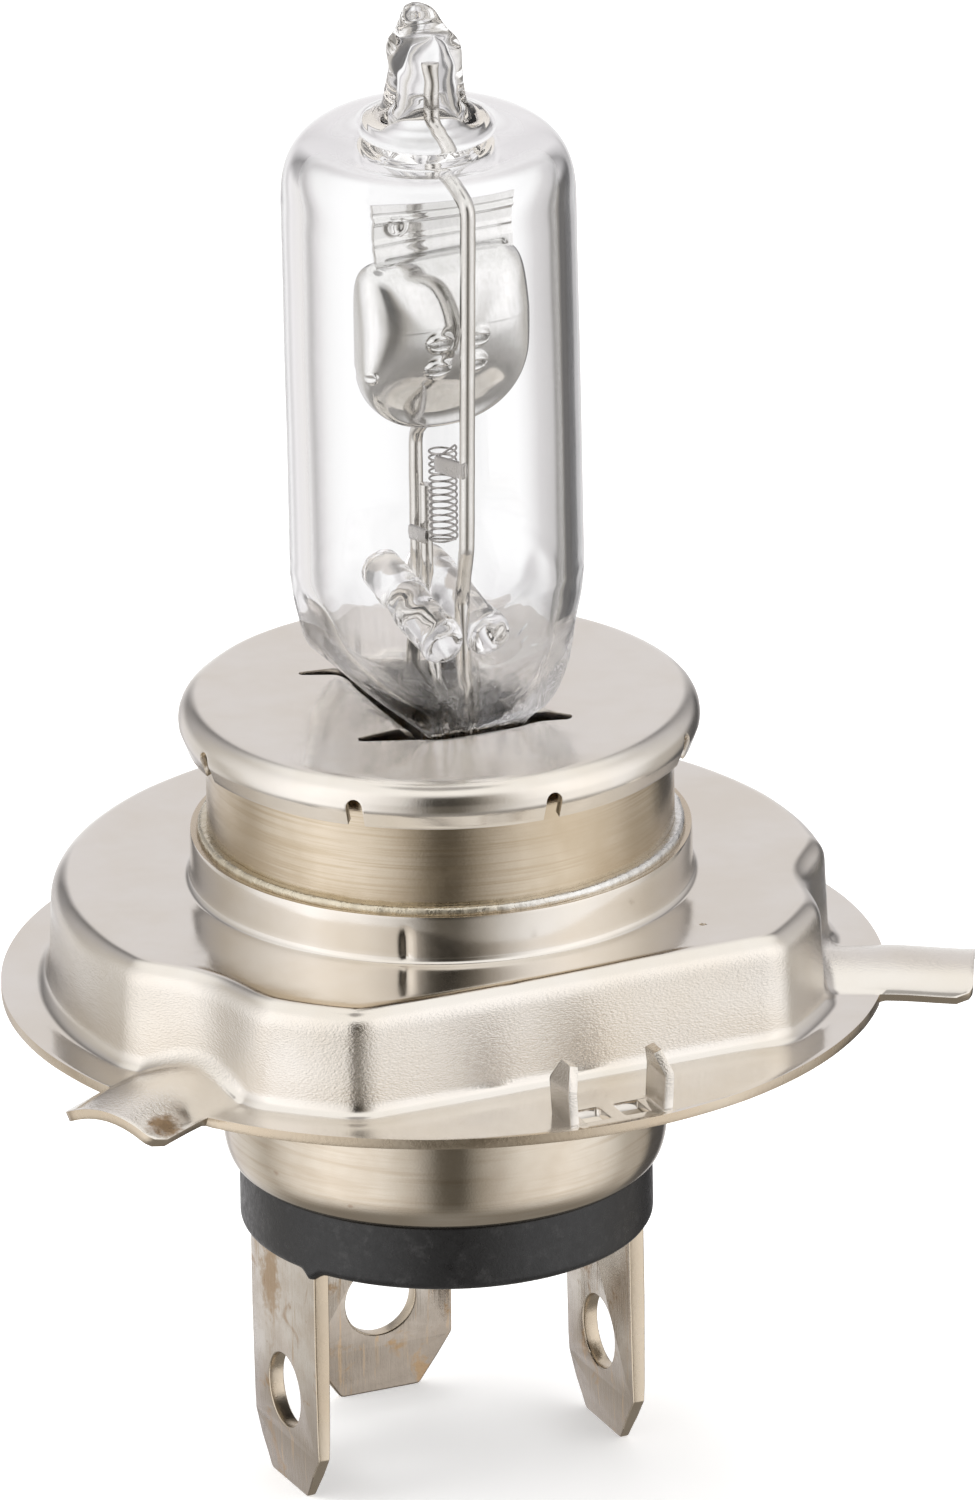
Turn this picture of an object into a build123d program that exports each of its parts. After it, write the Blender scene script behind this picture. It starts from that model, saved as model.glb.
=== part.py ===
from build123d import *
import os
from math import hypot

# Twin-filament halogen headlight bulb with a prefocus flange base.
# Units are millimetres. +Z points to the glass tip. The origin is the centre of the flange's
# front face, which is the bulb's reference plane. +Y points along the reference lug.

# Gaps between pieces that fit together
SEAM = 0.1

# Base ring: one pressing of thin plated steel
SHEET = 0.5
FLANGE_RADIUS = 21.5
HUB_RADIUS = 19.0
HUB_HEIGHT = 5.3
HUB_FLAT = 15.4
HUB_TOP_ROUND = 1.2
HUB_CORNER_ROUND = 1.8
HUB_FOOT_ROUND = 0.8
NECK_RADIUS = 12.2
NECK_TOP = 7.7
LUG_ANGLES = (90.0, -26.0, 206.0)
LUG_REACH = 25.8
LUG_WIDTH = 6.2
LUG_RISE = 0.9
LUG_START = 20.8
SCALLOP_RADIUS = 5.0
SCALLOP_DEPTH = 1.1
TAB_OFFSET = 2.45
TAB_RADIUS = 19.8
TAB_LENGTH = 2.2
TAB_HEIGHT = 3.0
WINDOW_INSIDE_X = 0.3

# Sleeve, solder ring, cap disc and rear shell
SLEEVE_RADIUS = 11.36
SLEEVE_WALL = 0.4
SLEEVE_BOTTOM = 1.5
SOLDER_TOP = 8.25
CAP_TOP = 14.6
CAP_RADIUS = 12.65
CAP_SKIRT_BOTTOM = 12.35
CAP_EDGE_ROUND = 1.2
CAP_BULGE = 0.33
CAP_TURN_IN = 0.4
CAP_LIP = 0.45
CAP_HOLE_START = 1.0
CAP_NOTCHES = 8
CAP_NOTCH_WIDTH = 0.9
TONGUE_BEND = 0.9
TONGUE_LENGTH = 2.4
TONGUE_THICKNESS = 0.4
TONGUE_SIDE_GAP = 0.3
SLIT_ANGLES = (47, 133, 227, 313)
SLIT_RADIUS = 6.0
SLIT_LENGTH = 1.8
SLIT_WIDTH = 0.6
SHELL_RADIUS = 10.85
SHELL_WALL = 0.35
SHELL_TOP = 6.5
SHELL_RIM_RADIUS = 10.15
SHELL_BOTTOM = -9.4
SHELL_KNEE = -7.0
SHELL_RIM_BULGE = 0.17

# Insulator and blade terminals
INSULATOR_RADIUS = 10.08
INSULATOR_BOTTOM = -12.75
INSULATOR_TOP = -6.4
INSULATOR_HEAD = 0.9
INSULATOR_ROUND = 0.5
BLADE_WIDTH = 7.7
BLADE_THICKNESS = 0.8
BLADE_TIP = -25.4
BLADE_SHOULDER = -10.6
BLADE_NECK_WIDTH = 5.6
BLADE_POINT = (2.2, 1.7)
BLADE_TAG_WIDTH = 3.0
BLADE_TAG_TOP = -4.4
BLADE_HOLE_RADIUS = 1.75
BLADE_HOLE_Z = -20.5
BLADE_SIDE = 8.4
BLADE_BACK = 8.7

# Glass envelope
GLASS_RADIUS = 7.15
GLASS_WALL = 0.95
TUBE_BOTTOM = 21.2
TUBE_TOP = 40.8
DOME_HEIGHT = 4.1
TIP_RADIUS = 1.85
TIP_TOP = 50.2
PINCH_X = 5.1
PINCH_Y = 9.5
PINCH_TOP = 14.2
PINCH_BOTTOM = 5.0
PINCH_CORNER = 0.9
TIP_CONE = 2.3
TIP_CONE_TAPER = 32

# Wires, foils, bridge rods
COMMON_WIRE_RADIUS = 0.365
DIPPED_WIRE_RADIUS = 0.35
MAIN_WIRE_RADIUS = 0.32
OUTER_LEAD_RADIUS = 0.4
FOIL_PITCH = 3.1
FOIL_WIDTH = 1.8
FOIL_THICKNESS = 0.1
FOIL_TOP = 12.0
FOIL_BOTTOM = 7.0
COMMON_WIRE_Y = -4.4
DIPPED_WIRE_Y = 2.4
MAIN_WIRE_Y = 1.2
WIRE_BEND = 0.8
OUTER_LEAD_BEND = 1.0
BRIDGE_Z = 19.45
BRIDGE_TILT = 9.5
BRIDGE_RADIUS = 1.13
LEFT_BRIDGE_X = -1.42
RIGHT_BRIDGE_X = 0.93
BRIDGE_HALF_LENGTH = 4.3
BRIDGE_END_ROUND = 0.7

# Filaments and shield
COIL_RADIUS = 0.6
COIL_WIRE_RADIUS = 0.08
COIL_PITCH = 0.28
MAIN_COIL_TURNS = 18
MAIN_COIL_CENTRE = (0.2, -0.7)
MAIN_COIL_BOTTOM = 22.5
DIPPED_COIL_TURNS = 16
DIPPED_COIL_BOTTOM = 30.2
SHIELD_HALF_WIDTH = 4.6
SHIELD_DEPTH = 2.6
SHIELD_RIM_Y = -1.35
SHIELD_CENTRE_Z = 33.4
SHIELD_BOWL_HEIGHT = 4.5
SHIELD_SHOULDER_Z = 37.5
SHIELD_TAB_TOP = 41.0
SHIELD_TAB_WIDTH = 7.2
SHIELD_WALL = 0.25
SHIELD_EDGE_ROUND = 0.5
SHIELD_RIB_HEIGHTS = (38.6, 40.0)
SHIELD_RIB_RADIUS = 0.22
SHIELD_BEAD_HEIGHTS = (33.1, 34.5)
SHIELD_BEAD_RADIUS = 0.3
SHIELD_BEAD_LENGTH = 3.0
SHIELD_BEAD_SINK = 0.1
CLIP_ROUND = 0.1
DIPPED_TAIL = 3.0
COMMON_WIRE_END_Y = -0.3
COMMON_WIRE_TOP = 47.4
TIP_CHANNEL_RADIUS = 0.9
TIP_CHANNEL_TOP = 47.0


def tube(outer_radius, inner_radius, bottom, top):
    """A plain round tube about the Z axis."""
    ring = Circle(outer_radius) - Circle(inner_radius)
    return Pos(0, 0, bottom) * extrude(ring, top - bottom)


def disc(radius, bottom, top):
    """A plain solid cylinder about the Z axis."""
    return Pos(0, 0, bottom) * extrude(Circle(radius), top - bottom)


def block(size_x, size_y, bottom, top, x=0.0, y=0.0):
    """A box centred on (x, y) between two heights."""
    return Pos(x, y, (bottom + top) / 2) * Box(size_x, size_y, top - bottom)


def wire(points, bend_radius, wire_radius):
    """A round wire through the points, with rounded bends."""
    path = FilletPolyline(*points, radius=bend_radius)
    profile = Plane(origin=path @ 0, z_dir=path % 0) * Circle(wire_radius)
    return sweep(profile, path=path)


def hub_outline(inset):
    """The hub's plan: a circle with one flat opposite the reference lug and a scallop at each lug."""
    radius = HUB_RADIUS - inset
    flat = HUB_FLAT - inset
    outline = Circle(radius) - Pos(0, -flat - radius) * Rectangle(3 * radius, 2 * radius)
    scallop_centre = HUB_RADIUS - SCALLOP_DEPTH + SCALLOP_RADIUS
    for angle in LUG_ANGLES:
        outline -= Rot(0, 0, angle) * Pos(scallop_centre, 0) * Circle(SCALLOP_RADIUS + inset)
    return fillet(outline.vertices(), HUB_CORNER_ROUND - inset)


def hub_cup():
    """The raised hub with rounded edges, before the inside is removed."""
    cup = extrude(hub_outline(0), HUB_HEIGHT)
    top_edges = cup.edges().group_by(Axis.Z)[-1]
    return fillet(top_edges, HUB_TOP_ROUND)


def flange_with_hub():
    """Flange disc and hub joined by a rounded foot."""
    solid = disc(FLANGE_RADIUS, -SHEET, 0) + hub_cup() + disc(NECK_RADIUS, HUB_HEIGHT - 1, NECK_TOP)
    foot = solid.edges().filter_by(lambda edge: abs(edge.center().Z) < 0.01)
    foot = foot.filter_by(lambda edge: hypot(edge.center().X, edge.center().Y) < HUB_RADIUS + SEAM)
    foot = foot.filter_by(lambda edge: hypot(edge.center().X, edge.center().Y) > NECK_RADIUS)
    return fillet(foot, HUB_FOOT_ROUND)


def lug_section(rise, half_width, floor):
    """End view of an arched strip: flat below, a circular arc above."""
    arc = ThreePointArc((-half_width, floor), (0, floor + rise), (half_width, floor))
    return make_face(arc + Line((half_width, floor), (-half_width, floor)))


def lug(angle):
    """One arched lug, from just inside the flange's rim to its free end."""
    edge_strip = Pos(0, -SHEET / 2) * Rectangle(LUG_WIDTH, SHEET)
    outer = lug_section(LUG_RISE, LUG_WIDTH / 2, 0) + edge_strip
    inner = lug_section(LUG_RISE, LUG_WIDTH / 2 - SHEET, -SHEET)
    plane = Plane(origin=(LUG_START, 0, 0), x_dir=(0, 1, 0), z_dir=(1, 0, 0))
    return Rot(0, 0, angle) * extrude(plane * (outer - inner), LUG_REACH - LUG_START)


def lug_clearance(angle):
    """The part of the disc that a lug's arch replaces."""
    length = FLANGE_RADIUS + 1 - LUG_START
    middle = LUG_START + length / 2
    return Rot(0, 0, angle) * block(length, LUG_WIDTH - SEAM, -2 * SHEET, SHEET / 2, x=middle)


def stop_tab(side):
    """A leaf sheared from the flange and bent upright, with rounded top corners."""
    leaf = block(SHEET, TAB_LENGTH, -SHEET, TAB_HEIGHT, x=side * TAB_OFFSET, y=-TAB_RADIUS)
    top_edges = leaf.edges().filter_by(Axis.X).group_by(Axis.Z)[-1]
    return fillet(top_edges, TAB_LENGTH / 3)


def tab_window(side):
    """The hole in the flange that a leaf leaves behind."""
    width = TAB_OFFSET - SHEET / 2 - WINDOW_INSIDE_X
    middle = side * (WINDOW_INSIDE_X + width / 2)
    depth = TAB_LENGTH - 2 * WINDOW_INSIDE_X
    return block(width, depth, -2 * SHEET, SHEET, x=middle, y=-TAB_RADIUS)


def make_base_ring():
    """Pressed ring: flange disc, hub, neck, three arched lugs and two upright tabs."""
    ring = flange_with_hub()
    ring -= Pos(0, 0, -SHEET) * extrude(hub_outline(SHEET), HUB_HEIGHT)
    ring -= disc(NECK_RADIUS - SHEET, 0, NECK_TOP + 1)
    for angle in LUG_ANGLES:
        ring = ring - lug_clearance(angle) + lug(angle)
    for side in (-1, 1):
        ring = ring - tab_window(side) + stop_tab(side)
    return ring


def make_burner_sleeve():
    """Thin sleeve between the cap disc and the base ring's neck."""
    return tube(SLEEVE_RADIUS, SLEEVE_RADIUS - SLEEVE_WALL, SLEEVE_BOTTOM, CAP_TOP - SHEET)


def make_solder_ring():
    """Solder that fills the gap at the top of the neck and stands on it as a bead."""
    skirt = tube(NECK_RADIUS - SHEET, SLEEVE_RADIUS, NECK_TOP - 1, NECK_TOP)
    bead = tube(NECK_RADIUS - 0.35, SLEEVE_RADIUS, NECK_TOP, SOLDER_TOP)
    bead = fillet(bead.edges().group_by(Axis.Z)[-1].sort_by(SortBy.LENGTH)[-1], 0.25)
    return skirt + bead


def cap_profile():
    """Half section of the cap disc: a flat top and a bulged skirt that turns in at its lower edge."""
    hole = CAP_HOLE_START
    flat_end = CAP_RADIUS - CAP_EDGE_ROUND
    middle = CAP_TOP - CAP_EDGE_ROUND
    low_outside = CAP_RADIUS - CAP_TURN_IN
    corner = (CAP_RADIUS - CAP_BULGE, CAP_TOP - CAP_BULGE)
    outer = Line((hole, CAP_TOP), (flat_end, CAP_TOP))
    outer += ThreePointArc((flat_end, CAP_TOP), corner, (CAP_RADIUS, middle))
    outer += Line((CAP_RADIUS, middle), (low_outside, CAP_SKIRT_BOTTOM))
    outer += Line((low_outside, CAP_SKIRT_BOTTOM), (low_outside - CAP_LIP, CAP_SKIRT_BOTTOM))
    outer += Line((low_outside - CAP_LIP, CAP_SKIRT_BOTTOM), (CAP_RADIUS - SHEET, middle))
    outer += Line((CAP_RADIUS - SHEET, middle), (flat_end, CAP_TOP - SHEET))
    outer += Line((flat_end, CAP_TOP - SHEET), (hole, CAP_TOP - SHEET))
    outer += Line((hole, CAP_TOP - SHEET), (hole, CAP_TOP))
    return Plane.XZ * make_face(outer)


def cap_tongue(half_gap, length):
    """A tongue at the cap's opening, bent down against the glass pinch on the +X side."""
    outside = half_gap + TONGUE_BEND
    behind = half_gap + TONGUE_THICKNESS
    low = CAP_TOP - TONGUE_LENGTH
    bend_low = CAP_TOP - TONGUE_BEND
    bend_middle = (outside - TONGUE_BEND * 0.71, CAP_TOP - TONGUE_BEND * 0.29)
    edge = ThreePointArc((outside, CAP_TOP), bend_middle, (half_gap, bend_low))
    edge += Line((half_gap, bend_low), (half_gap, low))
    edge += Line((half_gap, low), (behind, low))
    edge += Line((behind, low), (behind, bend_low))
    edge += Line((behind, bend_low), (outside, CAP_TOP - SHEET))
    edge += Line((outside, CAP_TOP - SHEET), (outside, CAP_TOP))
    side_plane = Plane(origin=(0, length / 2, 0), x_dir=(1, 0, 0), z_dir=(0, -1, 0))
    return extrude(side_plane * make_face(edge), length)


def make_cap_disc():
    """Cap disc with a notched skirt, and tongues and corner slits that hold the glass pinch."""
    cap = revolve(cap_profile(), Axis.Z)
    margin = 2 * (SEAM + TONGUE_BEND)
    cap -= block(PINCH_X + margin, PINCH_Y + margin, CAP_TOP - 2, CAP_TOP + 1)
    side_tongue = cap_tongue(PINCH_X / 2 + SEAM, PINCH_Y - 2 * TONGUE_SIDE_GAP)
    end_tongue = cap_tongue(PINCH_Y / 2 + SEAM, PINCH_X - 2 * TONGUE_SIDE_GAP)
    for turn in (0, 180):
        cap += Rot(0, 0, turn) * side_tongue
        cap += Rot(0, 0, turn + 90) * end_tongue
    slit = extrude(SlotCenterToCenter(SLIT_LENGTH, SLIT_WIDTH), 3)
    for turn in SLIT_ANGLES:
        cap -= Rot(0, 0, turn) * Pos(SLIT_RADIUS, 0, CAP_TOP - 2) * slit
    notch_top = CAP_TOP - CAP_EDGE_ROUND
    notch = block(2, CAP_NOTCH_WIDTH, CAP_SKIRT_BOTTOM - 1, notch_top, x=CAP_RADIUS)
    for index in range(CAP_NOTCHES):
        cap -= Rot(0, 0, index * 360 / CAP_NOTCHES) * notch
    return cap


def make_rear_shell():
    """Rear cup: a tube up into the sleeve, with its lower rim turned in over the insulator."""
    knee = SHELL_KNEE
    inside = SHELL_RADIUS - SHELL_WALL
    rim_inside = SHELL_RIM_RADIUS - SHELL_WALL
    mid = (SHELL_RADIUS - SHELL_RIM_BULGE, (knee + SHELL_BOTTOM) / 2)
    edge = Line((SHELL_RADIUS, SHELL_TOP), (SHELL_RADIUS, knee))
    edge += ThreePointArc((SHELL_RADIUS, knee), mid, (SHELL_RIM_RADIUS, SHELL_BOTTOM))
    edge += Line((SHELL_RIM_RADIUS, SHELL_BOTTOM), (rim_inside, SHELL_BOTTOM))
    edge += ThreePointArc((rim_inside, SHELL_BOTTOM), (mid[0] - SHELL_WALL, mid[1]), (inside, knee))
    edge += Line((inside, knee), (inside, SHELL_TOP))
    edge += Line((inside, SHELL_TOP), (SHELL_RADIUS, SHELL_TOP))
    return revolve(Plane.XZ * make_face(edge), Axis.Z)


def blade(name):
    """A flat terminal in its place: left, right or back of the insulator."""
    shank_height = BLADE_SHOULDER - BLADE_TIP
    shank = Pos(0, BLADE_TIP + shank_height / 2) * Rectangle(BLADE_WIDTH, shank_height)
    low_corners = shank.vertices().group_by(Axis.Y)[0]
    shank = chamfer(low_corners, *BLADE_POINT)
    neck_height = INSULATOR_TOP - BLADE_SHOULDER
    neck = Pos(0, BLADE_SHOULDER + neck_height / 2) * Rectangle(BLADE_NECK_WIDTH, neck_height)
    tag_height = BLADE_TAG_TOP - INSULATOR_TOP
    tag = Pos(0, INSULATOR_TOP + tag_height / 2) * Rectangle(BLADE_TAG_WIDTH, tag_height)
    outline = shank + neck + tag - Pos(0, BLADE_HOLE_Z) * Circle(BLADE_HOLE_RADIUS)
    plate = extrude(Plane.XZ * outline, BLADE_THICKNESS / 2, both=True)
    places = {
        "common": Pos(-BLADE_SIDE, 0, 0) * Rot(0, 0, 90),
        "main": Pos(BLADE_SIDE, 0, 0) * Rot(0, 0, 90),
        "dipped": Pos(0, BLADE_BACK, 0),
    }
    return places[name] * plate


def make_insulator():
    """Black insulator: a disc below the shell's rim and a plug held inside it."""
    base = disc(INSULATOR_RADIUS, INSULATOR_BOTTOM, SHELL_BOTTOM)
    base = fillet(base.edges().group_by(Axis.Z)[0], INSULATOR_ROUND)
    plug = disc(SHELL_RIM_RADIUS - SHELL_WALL - SEAM, SHELL_BOTTOM, INSULATOR_TOP)
    head_radius = SHELL_RADIUS - SHELL_WALL - SEAM
    head = disc(head_radius, INSULATOR_TOP - INSULATOR_HEAD, INSULATOR_TOP)
    solid = base + plug + head
    for name in ("common", "main", "dipped"):
        solid -= blade(name)
    return solid


def pinch_section(size_x, size_y, corner, height):
    """A rounded rectangle at a height."""
    return Pos(0, 0, height) * RectangleRounded(size_x, size_y, corner)


def glass_outside():
    """Outside of the envelope: tip, dome, tube and the flattened pinch."""
    neck_z = TUBE_TOP + DOME_HEIGHT * 0.93
    dome = Ellipse(GLASS_RADIUS, DOME_HEIGHT)
    half = Pos(GLASS_RADIUS, 0) * Rectangle(2 * GLASS_RADIUS, 4 * DOME_HEIGHT)
    dome = revolve(Plane.XZ * Pos(0, TUBE_TOP) * (dome & half), Axis.Z)
    barrel = disc(GLASS_RADIUS, TUBE_BOTTOM, TUBE_TOP)
    cone_z = TIP_TOP - TIP_CONE
    tip = disc(TIP_RADIUS, neck_z - 0.5, cone_z)
    cone = Pos(0, 0, cone_z) * extrude(Circle(TIP_RADIUS), TIP_CONE, taper=TIP_CONE_TAPER)
    taper = loft([
        Pos(0, 0, TUBE_BOTTOM) * Circle(GLASS_RADIUS),
        pinch_section(13.1, 13.5, 6.4, 18.7),
        pinch_section(11.0, 12.4, 5.3, 17.0),
        pinch_section(7.2, 10.8, 3.0, 15.2),
        pinch_section(PINCH_X, PINCH_Y, PINCH_CORNER, PINCH_TOP),
    ])
    pinch = extrude(
        pinch_section(PINCH_X, PINCH_Y, PINCH_CORNER, PINCH_BOTTOM), PINCH_TOP - PINCH_BOTTOM
    )
    return barrel + dome + tip + cone + taper + pinch


def glass_inside():
    """The sealed space inside the envelope."""
    radius = GLASS_RADIUS - GLASS_WALL
    dome = Ellipse(radius, DOME_HEIGHT - GLASS_WALL)
    half = Pos(radius, 0) * Rectangle(2 * radius, 4 * DOME_HEIGHT)
    dome = revolve(Plane.XZ * Pos(0, TUBE_TOP) * (dome & half), Axis.Z)
    barrel = disc(radius, TUBE_BOTTOM, TUBE_TOP)
    taper = loft([
        Pos(0, 0, TUBE_BOTTOM) * Circle(radius),
        pinch_section(9.6, 10.6, 4.7, 18.6),
        pinch_section(3.0, 8.4, 1.4, 16.0),
    ])
    channel = disc(TIP_CHANNEL_RADIUS, TUBE_TOP, TIP_CHANNEL_TOP)
    return barrel + dome + taper + channel


def common_wire():
    """Front lead: from its foil, through the bridge, up past the shield that it carries, into the tip."""
    points = [
        (0, -FOIL_PITCH, FOIL_TOP),
        (0, -FOIL_PITCH, 20.6),
        (0, COMMON_WIRE_Y, 23.8),
        (0, COMMON_WIRE_Y, 41.9),
        (0, COMMON_WIRE_END_Y, 44.6),
        (0, COMMON_WIRE_END_Y, COMMON_WIRE_TOP),
    ]
    return wire(points, WIRE_BEND, COMMON_WIRE_RADIUS)


def dipped_wire():
    """Rear lead, which carries the lower end of the dipped filament."""
    points = [
        (0, FOIL_PITCH, FOIL_TOP),
        (0, FOIL_PITCH, 16.0),
        (0, DIPPED_WIRE_Y, 18.0),
        (0, DIPPED_WIRE_Y, 27.4),
        (0, 0.3, 29.2),
    ]
    return wire(points, WIRE_BEND, DIPPED_WIRE_RADIUS)


def main_wire():
    """Short middle lead that carries the lower end of the main filament."""
    points = [
        (0, 0, FOIL_TOP),
        (0, 0, 15.0),
        (0, MAIN_WIRE_Y, 17.6),
        (0, MAIN_WIRE_Y, 25.1),
    ]
    return wire(points, WIRE_BEND, MAIN_WIRE_RADIUS)


def foil(place):
    """A thin molybdenum strip sealed in the pinch."""
    return block(FOIL_THICKNESS, FOIL_WIDTH, FOIL_BOTTOM, FOIL_TOP, y=place * FOIL_PITCH)


def outer_lead(place, name):
    """A lead from a foil's lower end to the tag of its terminal."""
    ends = {"common": (-1, 0), "main": (1, 0), "dipped": (0, 1)}
    side_x, side_y = ends[name]
    reach = BLADE_SIDE if side_y == 0 else BLADE_BACK
    near = reach - BLADE_THICKNESS / 2 - OUTER_LEAD_RADIUS
    points = [
        (0, place * FOIL_PITCH, FOIL_BOTTOM),
        (0, place * FOIL_PITCH, 2.5),
        (side_x * near, side_y * near, -1.5),
        (side_x * near, side_y * near, INSULATOR_TOP + 0.2),
    ]
    return wire(points, OUTER_LEAD_BEND, OUTER_LEAD_RADIUS)


def make_glass_envelope():
    """Quartz envelope with everything that is sealed in its pinch left out."""
    glass = glass_outside() - glass_inside()
    for part in (common_wire(), dipped_wire(), main_wire()):
        glass -= part
    for place, name in ((-1, "common"), (0, "main"), (1, "dipped")):
        glass -= foil(place)
        glass -= outer_lead(place, name)
    return glass


def make_bridge_rod(x):
    """One of two tilted quartz rods that clamp the three inner leads between them."""
    rod = Rot(90, 0, 0) * Cylinder(BRIDGE_RADIUS, 2 * BRIDGE_HALF_LENGTH)
    rod = fillet(rod.edges().filter_by(GeomType.CIRCLE), BRIDGE_END_ROUND)
    rod = Pos(x, 0, BRIDGE_Z) * Rot(BRIDGE_TILT, 0, 0) * rod
    return rod - common_wire() - dipped_wire() - main_wire()


def shield_bowl(half_width, depth, bowl_height, top):
    """Solid form of the shield: an elliptical trough with a rounded lower end, on one side of the rim."""
    size = 4 * half_width
    trough = extrude(Ellipse(half_width, depth), top - SHIELD_CENTRE_Z)
    bowl = scale(Sphere(1), (half_width, depth, bowl_height))
    bowl &= Pos(0, 0, -size / 2) * Box(size, size, size)
    form = (trough + bowl) & Pos(0, -size / 2, 0) * Box(size, size, size)
    return Pos(0, SHIELD_RIM_Y, SHIELD_CENTRE_Z) * form


def make_dipped_beam_shield():
    """Pressed shield under the dipped filament: a ribbed tab above, two beads welded to the front lead."""
    wall = SHIELD_WALL
    outer = shield_bowl(SHIELD_HALF_WIDTH, SHIELD_DEPTH, SHIELD_BOWL_HEIGHT, SHIELD_SHOULDER_Z)
    top_edge = outer.edges().group_by(Axis.Z)[-1].filter_by(GeomType.ELLIPSE)
    outer = fillet(top_edge, SHIELD_EDGE_ROUND)
    inner = shield_bowl(
        SHIELD_HALF_WIDTH - wall,
        SHIELD_DEPTH - wall,
        SHIELD_BOWL_HEIGHT - wall,
        SHIELD_SHOULDER_Z - wall,
    )
    shield = outer - inner
    tab_bottom = SHIELD_SHOULDER_Z - SHIELD_EDGE_ROUND
    tab = block(SHIELD_TAB_WIDTH, wall, tab_bottom, SHIELD_TAB_TOP, y=SHIELD_RIM_Y - wall / 2)
    rib = Rot(0, 90, 0) * Cylinder(SHIELD_RIB_RADIUS, SHIELD_TAB_WIDTH)
    for height in SHIELD_RIB_HEIGHTS:
        tab += Pos(0, SHIELD_RIM_Y - wall, height) * rib
    bead = Rot(0, 90, 0) * Cylinder(SHIELD_BEAD_RADIUS, SHIELD_BEAD_LENGTH)
    front = SHIELD_RIM_Y - SHIELD_DEPTH + SHIELD_BEAD_SINK
    for height in SHIELD_BEAD_HEIGHTS:
        shield += Pos(0, front, height) * bead - inner
    return shield + tab - common_wire()


def coil(turns, centre, bottom):
    """A single-wound filament coil with its axis along Z."""
    path = Helix(COIL_PITCH, turns * COIL_PITCH, COIL_RADIUS)
    profile = Plane(origin=path @ 0, z_dir=path % 0) * Circle(COIL_WIRE_RADIUS)
    spiral = sweep(profile, path=path, is_frenet=True)
    return Pos(centre[0], centre[1], bottom) * spiral


def tail(start, end):
    """A straight tail of filament wire between two points."""
    path = Line(start, end)
    profile = Plane(origin=path @ 0, z_dir=path % 0) * Circle(COIL_WIRE_RADIUS)
    return sweep(profile, path=path)


def make_main_beam_filament():
    """Main filament with a tail at each end."""
    x, y = MAIN_COIL_CENTRE
    top = MAIN_COIL_BOTTOM + MAIN_COIL_TURNS * COIL_PITCH
    solid = coil(MAIN_COIL_TURNS, MAIN_COIL_CENTRE, MAIN_COIL_BOTTOM)
    start = (x + COIL_RADIUS, y, top)
    solid += tail(start, (-0.58, -1.7, top))
    start = (x + COIL_RADIUS, y, MAIN_COIL_BOTTOM)
    return solid + tail(start, (-0.57, 0.2, MAIN_COIL_BOTTOM + 0.1))


def make_dipped_beam_filament():
    """Dipped filament above the shield, with a tail at each end."""
    top = DIPPED_COIL_BOTTOM + DIPPED_COIL_TURNS * COIL_PITCH
    solid = coil(DIPPED_COIL_TURNS, (0, 0), DIPPED_COIL_BOTTOM)
    solid += tail((COIL_RADIUS, -0.05, top - 0.1), (COIL_RADIUS, 0, top + DIPPED_TAIL))
    start = (COIL_RADIUS, 0.05, DIPPED_COIL_BOTTOM + 0.1)
    return solid + tail(start, (COIL_RADIUS, 0.25, DIPPED_COIL_BOTTOM - 0.8))


def clip(size, centre):
    """A folded strip that grips a filament tail."""
    body = Pos(*centre) * Box(*size)
    return fillet(body.edges(), CLIP_ROUND)


def filament_clips():
    """The four clips between filaments and lead wires, by name."""
    main_top = MAIN_COIL_BOTTOM + MAIN_COIL_TURNS * COIL_PITCH
    dipped_top = DIPPED_COIL_BOTTOM + DIPPED_COIL_TURNS * COIL_PITCH
    main_filament = make_main_beam_filament()
    dipped_filament = make_dipped_beam_filament()
    main_upper = clip((0.42, 3.3, 0.9), (-0.58, -3.1, main_top))
    main_lower = clip((0.42, 2.0, 0.8), (-0.54, 0.9, MAIN_COIL_BOTTOM + 0.2))
    dipped_upper = clip((0.45, 1.8, 0.9), (0.6, SHIELD_RIM_Y + 0.9, dipped_top + DIPPED_TAIL + 0.2))
    dipped_lower = clip((0.45, 1.3, 0.8), (0.575, 0.6, DIPPED_COIL_BOTTOM - 1.0))
    return {
        "main_beam_upper_clip": main_upper - main_filament,
        "main_beam_lower_clip": main_lower - main_filament,
        "dipped_beam_upper_clip": dipped_upper - dipped_filament,
        "dipped_beam_lower_clip": dipped_lower - dipped_filament,
    }


def make_nodes():
    """Every piece of the bulb under its node name."""
    nodes = {
        "base_ring": make_base_ring(),
        "burner_sleeve": make_burner_sleeve(),
        "solder_ring": make_solder_ring(),
        "cap_disc": make_cap_disc(),
        "rear_shell": make_rear_shell(),
        "insulator": make_insulator(),
        "common_terminal": blade("common"),
        "dipped_beam_terminal": blade("dipped"),
        "main_beam_terminal": blade("main"),
        "glass_envelope": make_glass_envelope(),
        "common_lead_wire": common_wire(),
        "dipped_beam_lead_wire": dipped_wire(),
        "main_beam_lead_wire": main_wire(),
        "left_bridge_rod": make_bridge_rod(LEFT_BRIDGE_X),
        "right_bridge_rod": make_bridge_rod(RIGHT_BRIDGE_X),
        "dipped_beam_shield": make_dipped_beam_shield(),
        "dipped_beam_filament": make_dipped_beam_filament(),
        "main_beam_filament": make_main_beam_filament(),
    }
    for place, name in ((-1, "common"), (0, "main"), (1, "dipped")):
        prefix = name if name == "common" else name + "_beam"
        nodes[prefix + "_foil"] = foil(place)
        nodes[prefix + "_outer_lead"] = outer_lead(place, name)
    nodes.update(filament_clips())
    return nodes


os.makedirs("parts", exist_ok=True)
for node_name, shape in make_nodes().items():
    export_step(shape, "parts/" + node_name + ".step")
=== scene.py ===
import math
from collections import namedtuple

import bmesh
import bpy
from mathutils import Matrix, Vector, noise


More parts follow.
